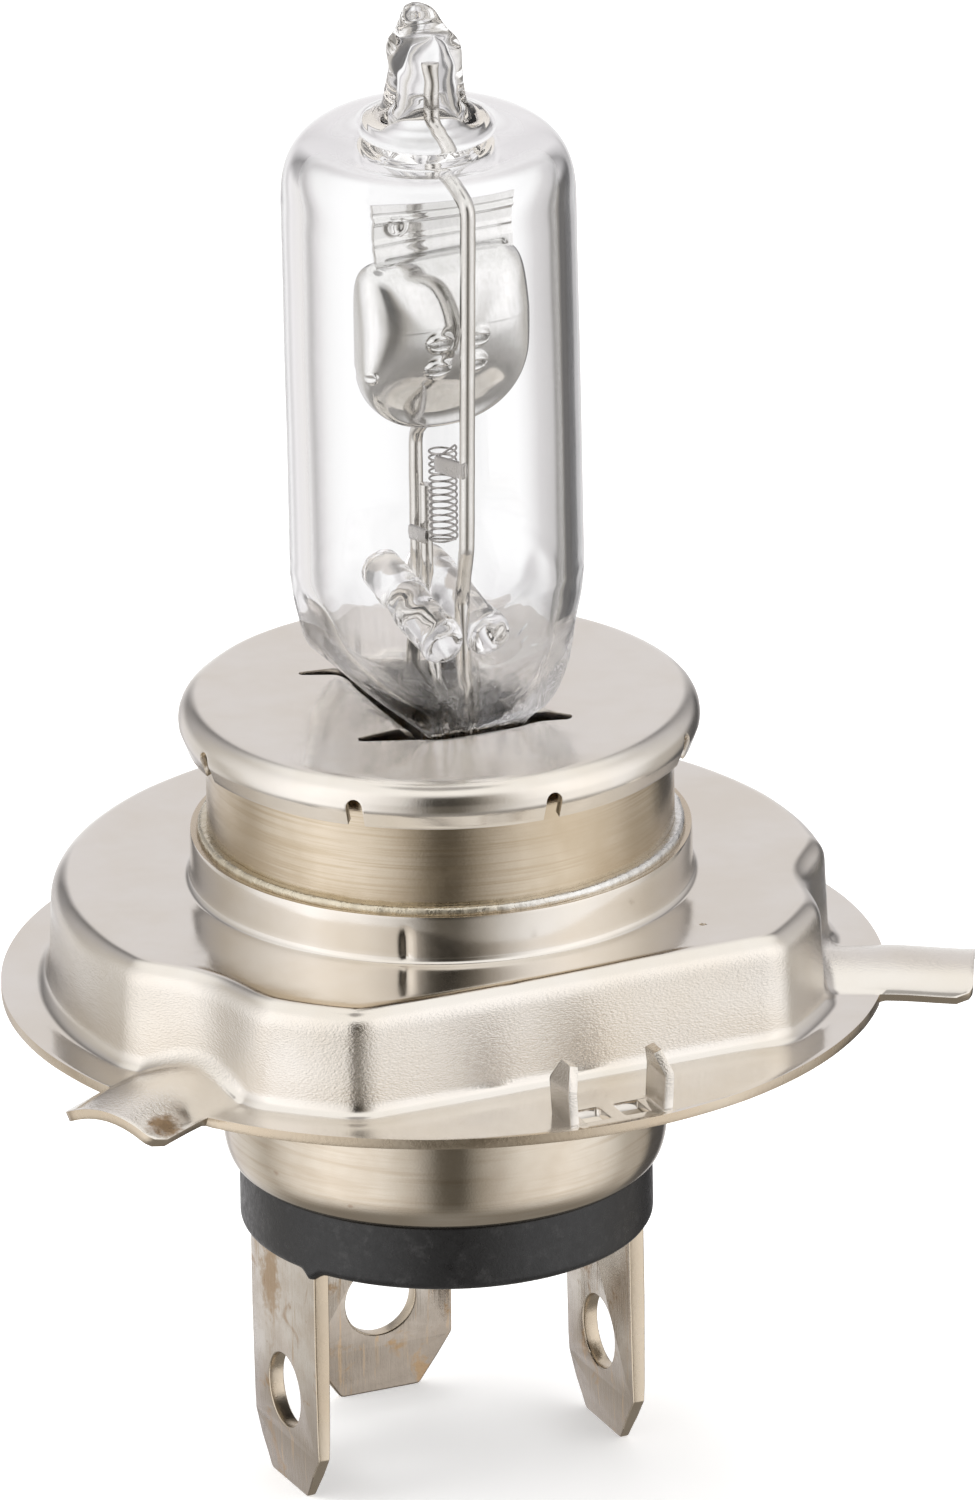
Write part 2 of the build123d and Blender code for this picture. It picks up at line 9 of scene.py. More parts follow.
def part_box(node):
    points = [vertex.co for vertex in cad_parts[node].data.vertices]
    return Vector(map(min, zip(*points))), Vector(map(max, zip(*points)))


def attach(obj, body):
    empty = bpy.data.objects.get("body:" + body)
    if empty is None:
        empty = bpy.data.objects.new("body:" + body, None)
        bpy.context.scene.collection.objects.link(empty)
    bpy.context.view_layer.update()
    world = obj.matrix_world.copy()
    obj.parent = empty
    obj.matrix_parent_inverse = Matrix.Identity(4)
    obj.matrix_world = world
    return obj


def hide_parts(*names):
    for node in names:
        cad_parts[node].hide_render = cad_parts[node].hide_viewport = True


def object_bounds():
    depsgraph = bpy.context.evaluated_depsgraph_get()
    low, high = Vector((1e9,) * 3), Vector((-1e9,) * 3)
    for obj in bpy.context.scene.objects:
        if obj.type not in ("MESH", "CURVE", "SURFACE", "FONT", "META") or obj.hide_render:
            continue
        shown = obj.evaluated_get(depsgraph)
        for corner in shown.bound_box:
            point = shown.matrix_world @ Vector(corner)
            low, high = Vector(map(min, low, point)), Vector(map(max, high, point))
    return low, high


# Twin-filament halogen headlight bulb. Shapes are worked out in millimetres in the CAD frame:
# +Z to the glass tip, origin on the flange's front face, +Y along the reference lug.

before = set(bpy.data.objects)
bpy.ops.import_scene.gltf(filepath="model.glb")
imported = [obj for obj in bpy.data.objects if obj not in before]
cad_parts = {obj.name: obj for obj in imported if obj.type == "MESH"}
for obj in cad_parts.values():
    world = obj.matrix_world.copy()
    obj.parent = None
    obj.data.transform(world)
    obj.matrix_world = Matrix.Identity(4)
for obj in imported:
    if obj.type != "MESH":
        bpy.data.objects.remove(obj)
cad_low, cad_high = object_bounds()
scene = bpy.context.scene
MM = 0.001


def extent(node):
    """Lowest and highest corner of a CAD node in millimetres."""
    low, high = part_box(node)
    return low / MM, high / MM


RING_HIGH = extent("base_ring")[1]
SLEEVE_LOW, SLEEVE_HIGH = extent("burner_sleeve")
CAP_LOW, CAP_HIGH = extent("cap_disc")
SHELL_LOW, SHELL_HIGH = extent("rear_shell")
INSULATOR_LOW, INSULATOR_HIGH = extent("insulator")
GLASS_LOW, GLASS_HIGH = extent("glass_envelope")
SHIELD_HIGH = extent("dipped_beam_shield")[1]

# Base ring
SHEET = 0.5
FLANGE_RADIUS = 21.5
HUB_RADIUS = 19.0
HUB_HEIGHT = 5.3
HUB_FLAT = 15.4
HUB_TOP_ROUND = 1.15
HUB_FOOT_ROUND = 0.85
HUB_CORNER_BLEND = 0.55
NECK_RADIUS = 12.2
NECK_TOP = RING_HIGH.z
NECK_FOOT_ROUND = 0.35
LUG_ANGLES = (90.0, -26.0, 206.0)
LUG_REACH = RING_HIGH.y
LUG_HALF_WIDTH = 3.1
LUG_RISE = 0.9
LUG_DROOP = 0.2
LUG_TRIM = 0.7
SCALLOP_DEPTH = 1.15
SCALLOP_HALF_ANGLE = 14.0
TAB_OFFSET = 2.45
TAB_RADIUS = 19.8
TAB_LENGTH = 2.2
TAB_HEIGHT = 2.9

# Cap, sleeve, solder, shell, insulator
CAP_RADIUS = CAP_HIGH.x
CAP_TOP = CAP_HIGH.z
CAP_SKIRT_BOTTOM = 12.35
SLEEVE_RADIUS = SLEEVE_HIGH.x
SLEEVE_WALL = 0.4
SOLDER_TOP = 8.1
SHELL_RADIUS = SHELL_HIGH.x
SHELL_BOTTOM = SHELL_LOW.z
SHELL_RIM_RADIUS = 10.15
SHELL_WALL = 0.35
INSULATOR_RADIUS = 10.08

# Glass
GLASS_RADIUS = GLASS_HIGH.x
GLASS_WALL = 0.95
TUBE_BOTTOM = 21.2
TUBE_TOP = 39.66
PINCH_HALF_X = 2.55
PINCH_HALF_Y = 4.75
TIP_TOP = GLASS_HIGH.z
BURNER_LEAN = -0.16

# Shield and wires
SHIELD_RIM_Y = SHIELD_HIGH.y
SHIELD_HALF_WIDTH = SHIELD_HIGH.x * 0.945
SHIELD_SHIFT = -0.3
SHIELD_DEPTH = 2.6
SHIELD_CENTRE_Z = 33.4
SHIELD_BOWL_HEIGHT = 4.25
SHIELD_SHOULDER_Z = 38.1
SHIELD_TAB_TOP = 41.0
TAB_BOTTOM = 37.05
SHIELD_TAB_HALF_WIDTH = 3.6
SHIELD_WALL = 0.22
SLOT_Z = 37.95
SHIELD_CREASE_Z = 35.1
SHIELD_FALL = 0.28
BEAD_ROWS = (32.85, 34.3)
BEAD_MIDDLE = -0.02
BEAD_OFFSET = 0.92
BEAD_HALF_LENGTH = 0.68
BEAD_HALF_HEIGHT = 0.62
BEAD_RISE = 0.3


# ---------------------------------------------------------------- small helpers

def smoothstep(low, high, value):
    t = min(1.0, max(0.0, (value - low) / (high - low)))
    return t * t * (3 - 2 * t)


def smooth_min(a, b, blend):
    h = min(1.0, max(0.0, 0.5 + 0.5 * (b - a) / blend))
    return b * (1 - h) + a * h - blend * h * (1 - h)


def turned(angle):
    """An angle in degrees brought between -180 and 180."""
    return (angle + 180) % 360 - 180


def polar(radius, degrees_):
    a = math.radians(degrees_)
    return radius * math.cos(a), radius * math.sin(a)


def spline(keys, at):
    """Smooth value through (position, value) pairs, flat beyond the ends."""
    if at <= keys[0][0]:
        return keys[0][1]
    if at >= keys[-1][0]:
        return keys[-1][1]
    last = len(keys) - 1
    i = max(k for k in range(last) if keys[k][0] <= at)
    (p0, v0), (p1, v1) = keys[i], keys[i + 1]

    def slope(k):
        if k in (0, last):
            return 0.0
        before = (keys[k][1] - keys[k - 1][1]) / (keys[k][0] - keys[k - 1][0])
        after = (keys[k + 1][1] - keys[k][1]) / (keys[k + 1][0] - keys[k][0])
        return 0.0 if before * after <= 0 else 2 * before * after / (before + after)

    span = p1 - p0
    t = (at - p0) / span
    return (
        v0 * (1 + 2 * t) * (1 - t) ** 2
        + slope(i) * span * t * (1 - t) ** 2
        + v1 * t * t * (3 - 2 * t)
        - slope(i + 1) * span * t * t * (1 - t)
    )


def rounded(corners, steps=6, closed=True):
    """Corners (a, b, radius) of a flat outline as points, with an arc at each rounded corner."""
    path = []
    count = len(corners)
    for i, (a, b, radius) in enumerate(corners):
        if radius == 0 or (not closed and i in (0, count - 1)):
            path.append((a, b))
            continue
        corner = Vector((a, b))
        before = (Vector(corners[i - 1][:2]) - corner).normalized()
        after = (Vector(corners[(i + 1) % count][:2]) - corner).normalized()
        half = before.angle(after) / 2
        centre = corner + (before + after).normalized() * (radius / math.sin(half))
        start = corner + before * (radius / math.tan(half)) - centre
        end = corner + after * (radius / math.tan(half)) - centre
        sweep = math.remainder(math.atan2(end.y, end.x) - math.atan2(start.y, start.x), math.tau)
        first = math.atan2(start.y, start.x)
        for k in range(steps + 1):
            turn = first + sweep * k / steps
            path.append((centre.x + radius * math.cos(turn), centre.y + radius * math.sin(turn)))
    return path


def grid_faces(rows, columns, wrap_rows=False, wrap_columns=False):
    """Quads of a grid of vertices stored row by row."""
    faces = []
    for r in range(rows if wrap_rows else rows - 1):
        for c in range(columns if wrap_columns else columns - 1):
            row, c2 = r * columns, (c + 1) % columns
            above = (r + 1) % rows * columns
            faces.append((row + c, row + c2, above + c2, above + c))
    return faces


def capped_faces(rows, columns):
    """Faces of a tube of rings, closed by a flat face at each end."""
    last = (rows - 1) * columns
    ends = [tuple(range(columns))[::-1], tuple(range(last, last + columns))]
    return grid_faces(rows, columns, wrap_columns=True) + ends


def make_object(name, verts, faces, outward=True):
    """A mesh object from millimetre points."""
    mesh = bpy.data.meshes.new(name)
    mesh.from_pydata([tuple(x * MM for x in v) for v in verts], [], faces)
    mesh.update()
    if outward:
        bm = bmesh.new()
        bm.from_mesh(mesh)
        bmesh.ops.recalc_face_normals(bm, faces=bm.faces)
        bm.to_mesh(mesh)
        bm.free()
    obj = bpy.data.objects.new(name, mesh)
    scene.collection.objects.link(obj)
    return obj


def apply_modifiers(obj):
    """Turns the modified shape into the object's own mesh."""
    depsgraph = bpy.context.evaluated_depsgraph_get()
    mesh = bpy.data.meshes.new_from_object(obj.evaluated_get(depsgraph))
    obj.modifiers.clear()
    obj.data = mesh
    return obj


def cut(obj, cutter, operation="DIFFERENCE"):
    """Boolean with a throwaway object."""
    step = obj.modifiers.new("cut", "BOOLEAN")
    step.operation = operation
    step.solver = "EXACT"
    step.object = cutter
    apply_modifiers(obj)
    bpy.data.objects.remove(cutter)
    return obj


def bevel(obj, width, segments=2, angle=50):
    step = obj.modifiers.new("bevel", "BEVEL")
    step.width = width * MM
    step.segments = segments
    step.limit_method = "ANGLE"
    step.angle_limit = math.radians(angle)
    step.harden_normals = False
    return obj


def finish_piece(obj, materials, nodes=(), sharp=38):
    """Shading, materials, material slot, body and the CAD nodes the piece stands for."""
    mesh = obj.data
    mesh.shade_smooth()
    mesh.set_sharp_from_angle(angle=math.radians(sharp))
    while len(mesh.materials) < len(materials):
        mesh.materials.append(None)
    for index, material in enumerate(materials):
        mesh.materials[index] = material
    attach(obj, "root")
    if nodes:
        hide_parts(*nodes)
    return obj


def revolve(name, profile, segments=256, wobble=None):
    """A closed outline (radius, height) turned round the Z axis."""
    verts = []
    for radius, z in profile:
        for k in range(segments):
            angle = math.tau * k / segments
            dr, dz = wobble(angle, radius, z) if wobble else (0.0, 0.0)
            verts.append(((radius + dr) * math.cos(angle), (radius + dr) * math.sin(angle), z + dz))
    faces = grid_faces(len(profile), segments, wrap_rows=True, wrap_columns=True)
    return make_object(name, verts, faces)


def joined(parts):
    """Vertex and face lists put together as one."""
    verts, faces = [], []
    for part_verts, part_faces in parts:
        first = len(verts)
        verts.extend(part_verts)
        faces.extend(tuple(first + i for i in face) for face in part_faces)
    return verts, faces


def bent_path(points, bend, steps=8):
    """A polyline with rounded corners, as closely spaced points."""
    pts = [Vector(p) for p in points]
    path = [pts[0]]
    for before, corner, after in zip(pts, pts[1:], pts[2:]):
        a, b = (before - corner), (after - corner)
        turn = math.pi - a.angle(b)
        if turn < 0.01:
            path.append(corner)
            continue
        cut_back = min(bend * math.tan(turn / 2), a.length * 0.49, b.length * 0.49)
        start, end = corner + a.normalized() * cut_back, corner + b.normalized() * cut_back
        for k in range(steps + 1):
            t = k / steps
            path.append(start * (1 - t) ** 2 + corner * 2 * t * (1 - t) + end * t * t)
    path.append(pts[-1])
    return path


def dense(path, spacing):
    """The same path with points no further apart than spacing."""
    out = [path[0]]
    for a, b in zip(path, path[1:]):
        count = max(1, math.ceil((b - a).length / spacing))
        out.extend(a.lerp(b, (k + 1) / count) for k in range(count))
    return out


def sweep(path, outline, taper=None, start_side=None):
    """A flat outline carried along a path without twisting, with closed ends."""
    tangents = []
    for i in range(len(path)):
        step = path[min(i + 1, len(path) - 1)] - path[max(i - 1, 0)]
        tangents.append(step.normalized())
    side = Vector(start_side) if start_side else tangents[0].orthogonal()
    verts = []
    for i, (point, tangent) in enumerate(zip(path, tangents)):
        side = (side - tangent * side.dot(tangent)).normalized()
        up = tangent.cross(side)
        size = taper(i / (len(path) - 1)) if taper else 1.0
        verts.extend(point + side * (a * size) + up * (b * size) for a, b in outline)
    count = len(outline)
    faces = capped_faces(len(path), count)
    return verts, faces


def circle(radius, sides):
    turns = [math.tau * k / sides for k in range(sides)]
    return [(radius * math.cos(turn), radius * math.sin(turn)) for turn in turns]


# ---------------------------------------------------------------- materials

class Nodes:
    """Short ways to add shader nodes to a tree."""

    def __init__(self, tree, coordinates, scale):
        self.tree = tree
        source = self.new("TexCoord").outputs[coordinates]
        self.place = self.vector("SCALE", source, scale=scale)

    def feed(self, socket, value):
        """Gives a socket a number, a colour or another node's output."""
        if isinstance(value, bpy.types.NodeSocket):
            self.tree.links.new(value, socket)
        elif socket.type == "RGBA":
            socket.default_value = (*value, 1.0)
        else:
            socket.default_value = value

    def new(self, kind, inputs=None, **settings):
        """A node with its settings and what its inputs are fed with."""
        node = self.tree.nodes.new("ShaderNode" + kind)
        for key, value in settings.items():
            setattr(node, key, value)
        for socket, value in (inputs or {}).items():
            self.feed(node.inputs[socket], value)
        return node

    def vector(self, operation, a, b=None, scale=None):
        inputs = {0: a, 1: b, "Scale": scale}
        given = {socket: value for socket, value in inputs.items() if value is not None}
        node = self.new("VectorMath", given, operation=operation)
        return node.outputs["Value" if operation in ("LENGTH", "DOT_PRODUCT") else "Vector"]

    def axis(self, name):
        return self.new("SeparateXYZ", {0: self.place}).outputs[name]

    def math(self, operation, a, b):
        return self.new("Math", {0: a, 1: b}, operation=operation).outputs[0]

    def noise(self, scale, detail=3.0, roughness=0.55, stretch=None, distortion=0.0):
        source = self.place if stretch is None else self.vector("MULTIPLY", self.place, stretch)
        inputs = {"Vector": source, "Scale": scale, "Detail": detail}
        inputs.update({"Roughness": roughness, "Distortion": distortion})
        return self.new("TexNoise", inputs).outputs["Fac"]

    def ramp(self, value, low, high, out_low=0.0, out_high=1.0):
        inputs = {"Value": value, "From Min": low, "From Max": high, "To Min": out_low, "To Max": out_high}
        return self.new("MapRange", inputs, interpolation_type="SMOOTHSTEP").outputs["Result"]

    def mix(self, factor, a, b):
        return self.new("Mix", {0: factor, 6: a, 7: b}, data_type="RGBA").outputs[2]


class Look(Nodes):
    """A material whose patterns sit in object space, measured in millimetres."""

    def __init__(self, name, **surface):
        self.material = bpy.data.materials.new(name)
        self.material.use_nodes = True
        super().__init__(self.material.node_tree, "Object", 1 / MM)
        self.shader = self.tree.nodes["Principled BSDF"]
        self.surface(**surface)

    def surface(self, **values):
        """Feeds the shader's inputs. An underscore stands for a space."""
        for key, value in values.items():
            self.feed(self.shader.inputs[key.replace("_", " ")], value)
        return self.material

    def bump(self, height, depth, below=None):
        """Bump of a real depth in millimetres."""
        node = self.new("Bump", {"Strength": 1.0, "Distance": depth * MM, "Height": height})
        if below is not None:
            self.feed(node.inputs["Normal"], below)
        return node.outputs["Normal"]

    def stain(self, colour, centre, radius, stretch, tint):
        """Colour with a ragged spot of another tint about a point."""
        offset = self.vector("SUBTRACT", self.place, centre)
        distance = self.vector("LENGTH", self.vector("MULTIPLY", offset, stretch))
        uneven = self.math("MULTIPLY", self.noise(1.6, 5, 0.7), radius * STAIN_RAGGEDNESS * 2)
        ragged = self.math("ADD", distance, uneven)
        low, high = radius * (0.4 + STAIN_RAGGEDNESS), radius * (1.1 + STAIN_RAGGEDNESS)
        return self.mix(self.ramp(ragged, low, high, 1.0, 0.0), colour, tint)


STAIN_RAGGEDNESS = 0.9
NICKEL = (0.79, 0.755, 0.71)
NICKEL_WARM = (0.75, 0.70, 0.63)
COPPERY = (0.56, 0.47, 0.36)
HEAT_BROWN = (0.30, 0.21, 0.13)


def plated(name, base, tint, rough=(0.2, 0.32), grain=0.0035, grain_scale=9.0,
           streak=None, streak_depth=0.0, patch_scale=0.12, stains=()):
    """Bare or plated metal: cloudy colour, uneven gloss, fine grain, brushing and stains if asked."""
    n = Look(name, Metallic=1.0)
    colour = n.mix(n.ramp(n.noise(patch_scale, 4, 0.6), 0.35, 0.7), base, tint)
    for stain in stains:
        colour = n.stain(colour, *stain)
    normal = n.bump(n.noise(grain_scale, 3, 0.6), grain)
    if streak:
        normal = n.bump(n.noise(1.0, 4, 0.7, stretch=streak), streak_depth, normal)
        broad = tuple(s * 0.5 for s in streak)
        colour = n.mix(n.ramp(n.noise(1.0, 3, 0.6, stretch=broad), 0.4, 0.75), colour, tint)
    roughness = n.ramp(n.noise(patch_scale * 4, 5, 0.65), 0.3, 0.72, *rough)
    return n.surface(Base_Color=colour, Roughness=roughness, Normal=normal)


def base_ring_material():
    """Nickel plating, satin on the flats and grainy on the drawn hub wall, with brown stains on a lug."""
    n = Look("ring_plating_look", Metallic=1.0)
    colour = n.mix(n.ramp(n.noise(0.12, 4, 0.6), 0.35, 0.72), NICKEL, NICKEL_WARM)
    colour = n.stain(colour, (-20.3, -12.6, 0.2), 1.0, (1, 1, 1), HEAT_BROWN)
    colour = n.stain(colour, (-23.4, -10.6, 0.5), 0.4, (1, 1, 1), (0.50, 0.38, 0.27))
    height = n.axis("Z")
    on_wall = n.math("MULTIPLY", n.ramp(height, 0.25, 0.9), n.ramp(height, 4.3, 5.15, 1.0, 0.0))
    grainy = n.math("MULTIPLY", n.noise(6.5, 3, 0.6, stretch=(1.0, 1.0, 2.0)), on_wall)
    normal = n.bump(n.noise(11.0, 3, 0.6), 0.0015)
    normal = n.bump(grainy, 0.034, normal)
    normal = n.bump(n.noise(0.4, 2, 0.5), 0.012, normal)
    roughness = n.ramp(n.noise(0.5, 5, 0.65), 0.3, 0.72, 0.11, 0.18)
    return n.surface(Base_Color=colour, Roughness=roughness, Normal=normal)


def clear_glass(name, tint, waviness, scale, straight=0.0, fold_depth=0.0):
    """Clear quartz, folded where it is squeezed. Light trapped in it is let straight out."""
    n = Look(name, Roughness=0.0, IOR=1.46, Transmission_Weight=1.0, Base_Color=tint)
    height = n.axis("Z")
    creases = n.noise(0.34, 1, 0.5, stretch=(1.6, 1.0, 0.6), distortion=1.0)
    folds = n.math("MULTIPLY", creases, n.ramp(height, 18.5, 14.5, 0.0, 1.0))
    n.surface(Normal=n.bump(folds, fold_depth, n.bump(n.noise(scale, 2, 0.4), waviness)))
    path = n.new("LightPath")
    trapped = n.math("GREATER_THAN", path.outputs["Ray Depth"], 7.5)
    squeezed = n.ramp(height, 16.5, 20.0, straight, 0.0)
    through = n.math("MAXIMUM", n.math("MAXIMUM", trapped, path.outputs["Is Shadow Ray"]), squeezed)
    clear = n.new("BsdfTransparent", {"Color": (0.98, 0.98, 0.985)})
    both = n.new("MixShader", {"Fac": through, 1: n.shader.outputs[0], 2: clear.outputs[0]})
    n.feed(n.tree.nodes["Material Output"].inputs["Surface"], both.outputs[0])
    return n.material


def solder_material():
    """Solder whose colour runs from yellowish on the -X side to pale grey on the +X side, along a ragged
    line.
    """
    n = Look("solder_look", Metallic=1.0)
    side = n.math("ADD", n.axis("X"), n.math("MULTIPLY", n.noise(0.5, 4), 8.0))
    return n.surface(
        Base_Color=n.mix(n.ramp(side, -2.0, 6.0), (0.66, 0.60, 0.48), (0.80, 0.79, 0.77)),
        Roughness=n.ramp(n.noise(2.2, 4), 0.3, 0.7, 0.18, 0.42),
        Normal=n.bump(n.noise(2.6, 4, 0.6), 0.05),
    )


def plastic_material():
    """Black moulded insulator with a fine satin grain and a few paler scuffs."""
    n = Look("insulator_look", IOR=1.5)
    scuffs = n.ramp(n.noise(1.1, 5, 0.7), 0.52, 0.78)
    return n.surface(
        Base_Color=n.mix(scuffs, (0.010, 0.010, 0.011), (0.035, 0.034, 0.035)),
        Roughness=n.ramp(n.noise(2.4, 4, 0.6), 0.3, 0.7, 0.26, 0.42),
        Normal=n.bump(n.noise(7.0, 3, 0.6), 0.012),
    )


def blade_material():
    """Nickel-plated terminals, darker toward their points, with rolling marks and brown stains."""
    n = Look("terminal_look", Metallic=1.0)
    colour = n.mix(n.ramp(n.noise(0.35, 5, 0.65), 0.35, 0.7), (0.70, 0.66, 0.60), (0.58, 0.51, 0.43))
    ragged = n.math("ADD", n.axis("Z"), n.math("MULTIPLY", n.noise(0.3, 4), 5.0))
    tints = (
        (n.ramp(ragged, -14.5, -21.0), (0.36, 0.31, 0.26)),
        (n.ramp(n.noise(1.0, 4, 0.7, stretch=(2.2, 2.2, 0.12)), 0.56, 0.72), (0.50, 0.38, 0.26)),
        (n.ramp(n.noise(0.42, 4, 0.7, distortion=0.6), 0.56, 0.70), (0.40, 0.28, 0.17)),
    )
    for factor, tint in tints:
        colour = n.mix(factor, colour, tint)
    colour = n.stain(colour, (1.3, 8.3, -18.6), 0.75, (1, 1, 1), (0.33, 0.34, 0.37))
    colour = n.stain(colour, (-0.6, 8.3, -17.3), 1.6, (1, 1, 0.7), (0.42, 0.29, 0.17))
    colour = n.stain(colour, (-8.8, 1.5, -15.0), 1.3, (1, 1, 0.5), (0.42, 0.30, 0.18))
    colour = n.mix(n.ramp(n.noise(2.6, 3, 0.7), 0.72, 0.77), colour, (0.30, 0.20, 0.12))
    rolled = n.bump(n.noise(1.0, 3, 0.6, stretch=(6.0, 6.0, 0.5)), 0.012)
    return n.surface(
        Base_Color=colour,
        Roughness=n.ramp(n.noise(1.4, 5, 0.65), 0.3, 0.7, 0.15, 0.27),
        Normal=n.bump(n.noise(8.0, 3, 0.6), 0.006, rolled),
    )


ring_look = base_ring_material()
edge_look = plated(
    "cut_edge_look", COPPERY, (0.68, 0.60, 0.49), rough=(0.2, 0.35), grain=0.01, grain_scale=5,
)
cap_look = plated("cap_plating_look", NICKEL, NICKEL_WARM, rough=(0.15, 0.22), grain=0.002, grain_scale=8)
sleeve_look = plated(
    "sleeve_steel_look", (0.64, 0.56, 0.45), (0.52, 0.43, 0.31), rough=(0.15, 0.25), grain=0.003,
    streak=(0.25, 0.25, 14.0), streak_depth=0.005,
)
shell_look = plated(
    "shell_steel_look", (0.72, 0.66, 0.57), (0.58, 0.50, 0.40), rough=(0.10, 0.18), grain=0.002,
    streak=(0.3, 0.3, 6.0), streak_depth=0.002,
    stains=(
        ((-10.4, -3.1, -7.6), 0.26, (1, 1, 1.4), (0.46, 0.36, 0.28)),
        ((-8.2, -7.0, -8.3), 0.2, (1, 1, 1.4), (0.50, 0.40, 0.31)),
    ),
)
solder_look = solder_material()
plastic_look = plastic_material()
terminal_look = blade_material()
glass_look = clear_glass("clear_quartz_look", (0.99, 0.99, 0.993), 0.003, 0.4, straight=0.34, fold_depth=0.6)
rod_look = clear_glass("bridge_quartz_look", (0.99, 0.99, 0.99), 0.012, 0.8)
wire_look = plated(
    "lead_molybdenum_look", (0.74, 0.73, 0.71), (0.66, 0.64, 0.61), rough=(0.07, 0.14), grain=0.001,
    grain_scale=7, streak=(5.0, 5.0, 0.25), streak_depth=0.0012, patch_scale=0.5,
)
foil_look = plated("foil_molybdenum_look", (0.45, 0.44, 0.43), (0.36, 0.34, 0.32), rough=(0.3, 0.45))
outer_lead_look = plated(
    "outer_lead_look", (0.68, 0.64, 0.58), (0.52, 0.44, 0.35), streak=(6, 6, 0.5), streak_depth=0.01,
)
shield_look = plated(
    "shield_metal_look", (0.80, 0.80, 0.80), (0.73, 0.73, 0.72), rough=(0.05, 0.10), grain=0.0006,
    grain_scale=6, streak=(9.0, 9.0, 0.4), streak_depth=0.001, patch_scale=0.3,
)
filament_look = plated(
    "filament_tungsten_look", (0.50, 0.49, 0.48), (0.40, 0.38, 0.37), rough=(0.2, 0.34), grain=0.004,
)
clip_look = plated(
    "clip_metal_look", (0.62, 0.61, 0.60), (0.50, 0.48, 0.46), rough=(0.18, 0.34), grain=0.008,
)


# ---------------------------------------------------------------- base ring

def hub_wall(angle):
    """Radius of the hub's wall: round, with one flat and a soft scallop behind each lug."""
    radius = HUB_RADIUS
    from_flat = math.radians(turned(angle + 90))
    if abs(from_flat) < math.radians(70):
        radius = smooth_min(radius, HUB_FLAT / math.cos(from_flat), HUB_CORNER_BLEND)
    for lug in LUG_ANGLES:
        offset = abs(turned(angle - lug)) / SCALLOP_HALF_ANGLE
        if offset < 1:
            radius -= SCALLOP_DEPTH * (0.5 + 0.5 * math.cos(math.pi * offset)) ** 0.85
    return radius


def outline_point(angle, outward):
    """Point on the hub's outline, moved outward along its normal."""
    here = Vector(polar(hub_wall(angle), angle))
    step = 0.25
    tangent = Vector(polar(hub_wall(angle + step), angle + step)) - Vector(
        polar(hub_wall(angle - step), angle - step)
    )
    normal = Vector((tangent.y, -tangent.x)).normalized()
    return here + normal * outward


def ring_columns():
    """(wall angle, point on the flange's rim, lug angle or None, sideways place in the lug)."""
    wall_half = math.degrees(math.asin(LUG_HALF_WIDTH / (HUB_RADIUS - SCALLOP_DEPTH)))
    rim_half = math.degrees(math.asin(LUG_HALF_WIDTH / FLANGE_RADIUS))
    across, between = 22, 176
    columns = []
    lugs = sorted(LUG_ANGLES)
    for lug, following in zip(lugs, lugs[1:] + [lugs[0] + 360]):
        for k in range(across + 1):
            side = LUG_HALF_WIDTH * (2 * k / across - 1)
            wall = lug + math.degrees(math.asin(side / (HUB_RADIUS - SCALLOP_DEPTH)))
            rim = lug + math.degrees(math.asin(side / FLANGE_RADIUS))
            columns.append((wall, polar(FLANGE_RADIUS, rim), lug, side))
        for k in range(1, between):
            t = k / between
            wall = (lug + wall_half) * (1 - t) + (following - wall_half) * t
            rim = (lug + rim_half) * (1 - t) + (following - rim_half) * t
            columns.append((wall, polar(FLANGE_RADIUS, rim), None, 0.0))
    return columns


def lug_arch(side):
    """Height of the arched lug across its width."""
    return LUG_RISE * (1 - (side / LUG_HALF_WIDTH) ** 2)


def neck_dent(angle, z):
    """Small vertical dent in the front left of the neck."""
    across = turned(angle + 122) * math.radians(1) * NECK_RADIUS
    return 0.1 * math.exp(-(across / 0.22) ** 2) * smoothstep(7.2, 6.6, z)


def ring_column_points(wall, rim, lug, side):
    """Points of one column of the ring's top surface, from the neck's top to the flange's rim."""
    points = []
    foot_z = HUB_HEIGHT + NECK_FOOT_ROUND
    for k in range(9):
        z = NECK_TOP + (foot_z - NECK_TOP) * k / 8
        flare = 0.04 * smoothstep(NECK_TOP - 0.5, NECK_TOP, z)
        x, y = polar(NECK_RADIUS - flare - neck_dent(wall, z), wall)
        points.append((x, y, z))
    for k in range(1, 5):
        turn = math.pi / 2 * k / 4
        x, y = polar(NECK_RADIUS + NECK_FOOT_ROUND * (1 - math.cos(turn)), wall)
        points.append((x, y, foot_z - NECK_FOOT_ROUND * math.sin(turn)))
    inside = Vector(polar(NECK_RADIUS + NECK_FOOT_ROUND, wall))
    outside = outline_point(wall, -HUB_TOP_ROUND)
    for k in range(1, 12):
        p = inside.lerp(outside, k / 12)
        points.append((p.x, p.y, HUB_HEIGHT))
    for k in range(11):
        turn = math.pi / 2 * k / 10
        p = outline_point(wall, -HUB_TOP_ROUND * (1 - math.sin(turn)))
        points.append((p.x, p.y, HUB_HEIGHT - HUB_TOP_ROUND * (1 - math.cos(turn))))
    wall_top = HUB_HEIGHT - HUB_TOP_ROUND
    arch = lug_arch(side) if lug is not None else 0.0
    for k in range(1, 10):
        t = k / 9
        z = wall_top + (HUB_FOOT_ROUND - wall_top) * t
        p = outline_point(wall, 0.12 * t)
        points.append((p.x, p.y, z + arch * t ** 2))
    for k in range(1, 8):
        turn = math.pi / 2 * k / 7
        p = outline_point(wall, 0.12 + HUB_FOOT_ROUND * (1 - math.cos(turn)))
        points.append((p.x, p.y, HUB_FOOT_ROUND * (1 - math.sin(turn)) + arch))
    foot = outline_point(wall, 0.12 + HUB_FOOT_ROUND)
    rim = Vector(rim)
    for k in range(1, 8):
        p = foot.lerp(rim, k / 7)
        points.append((p.x, p.y, arch))
    return points


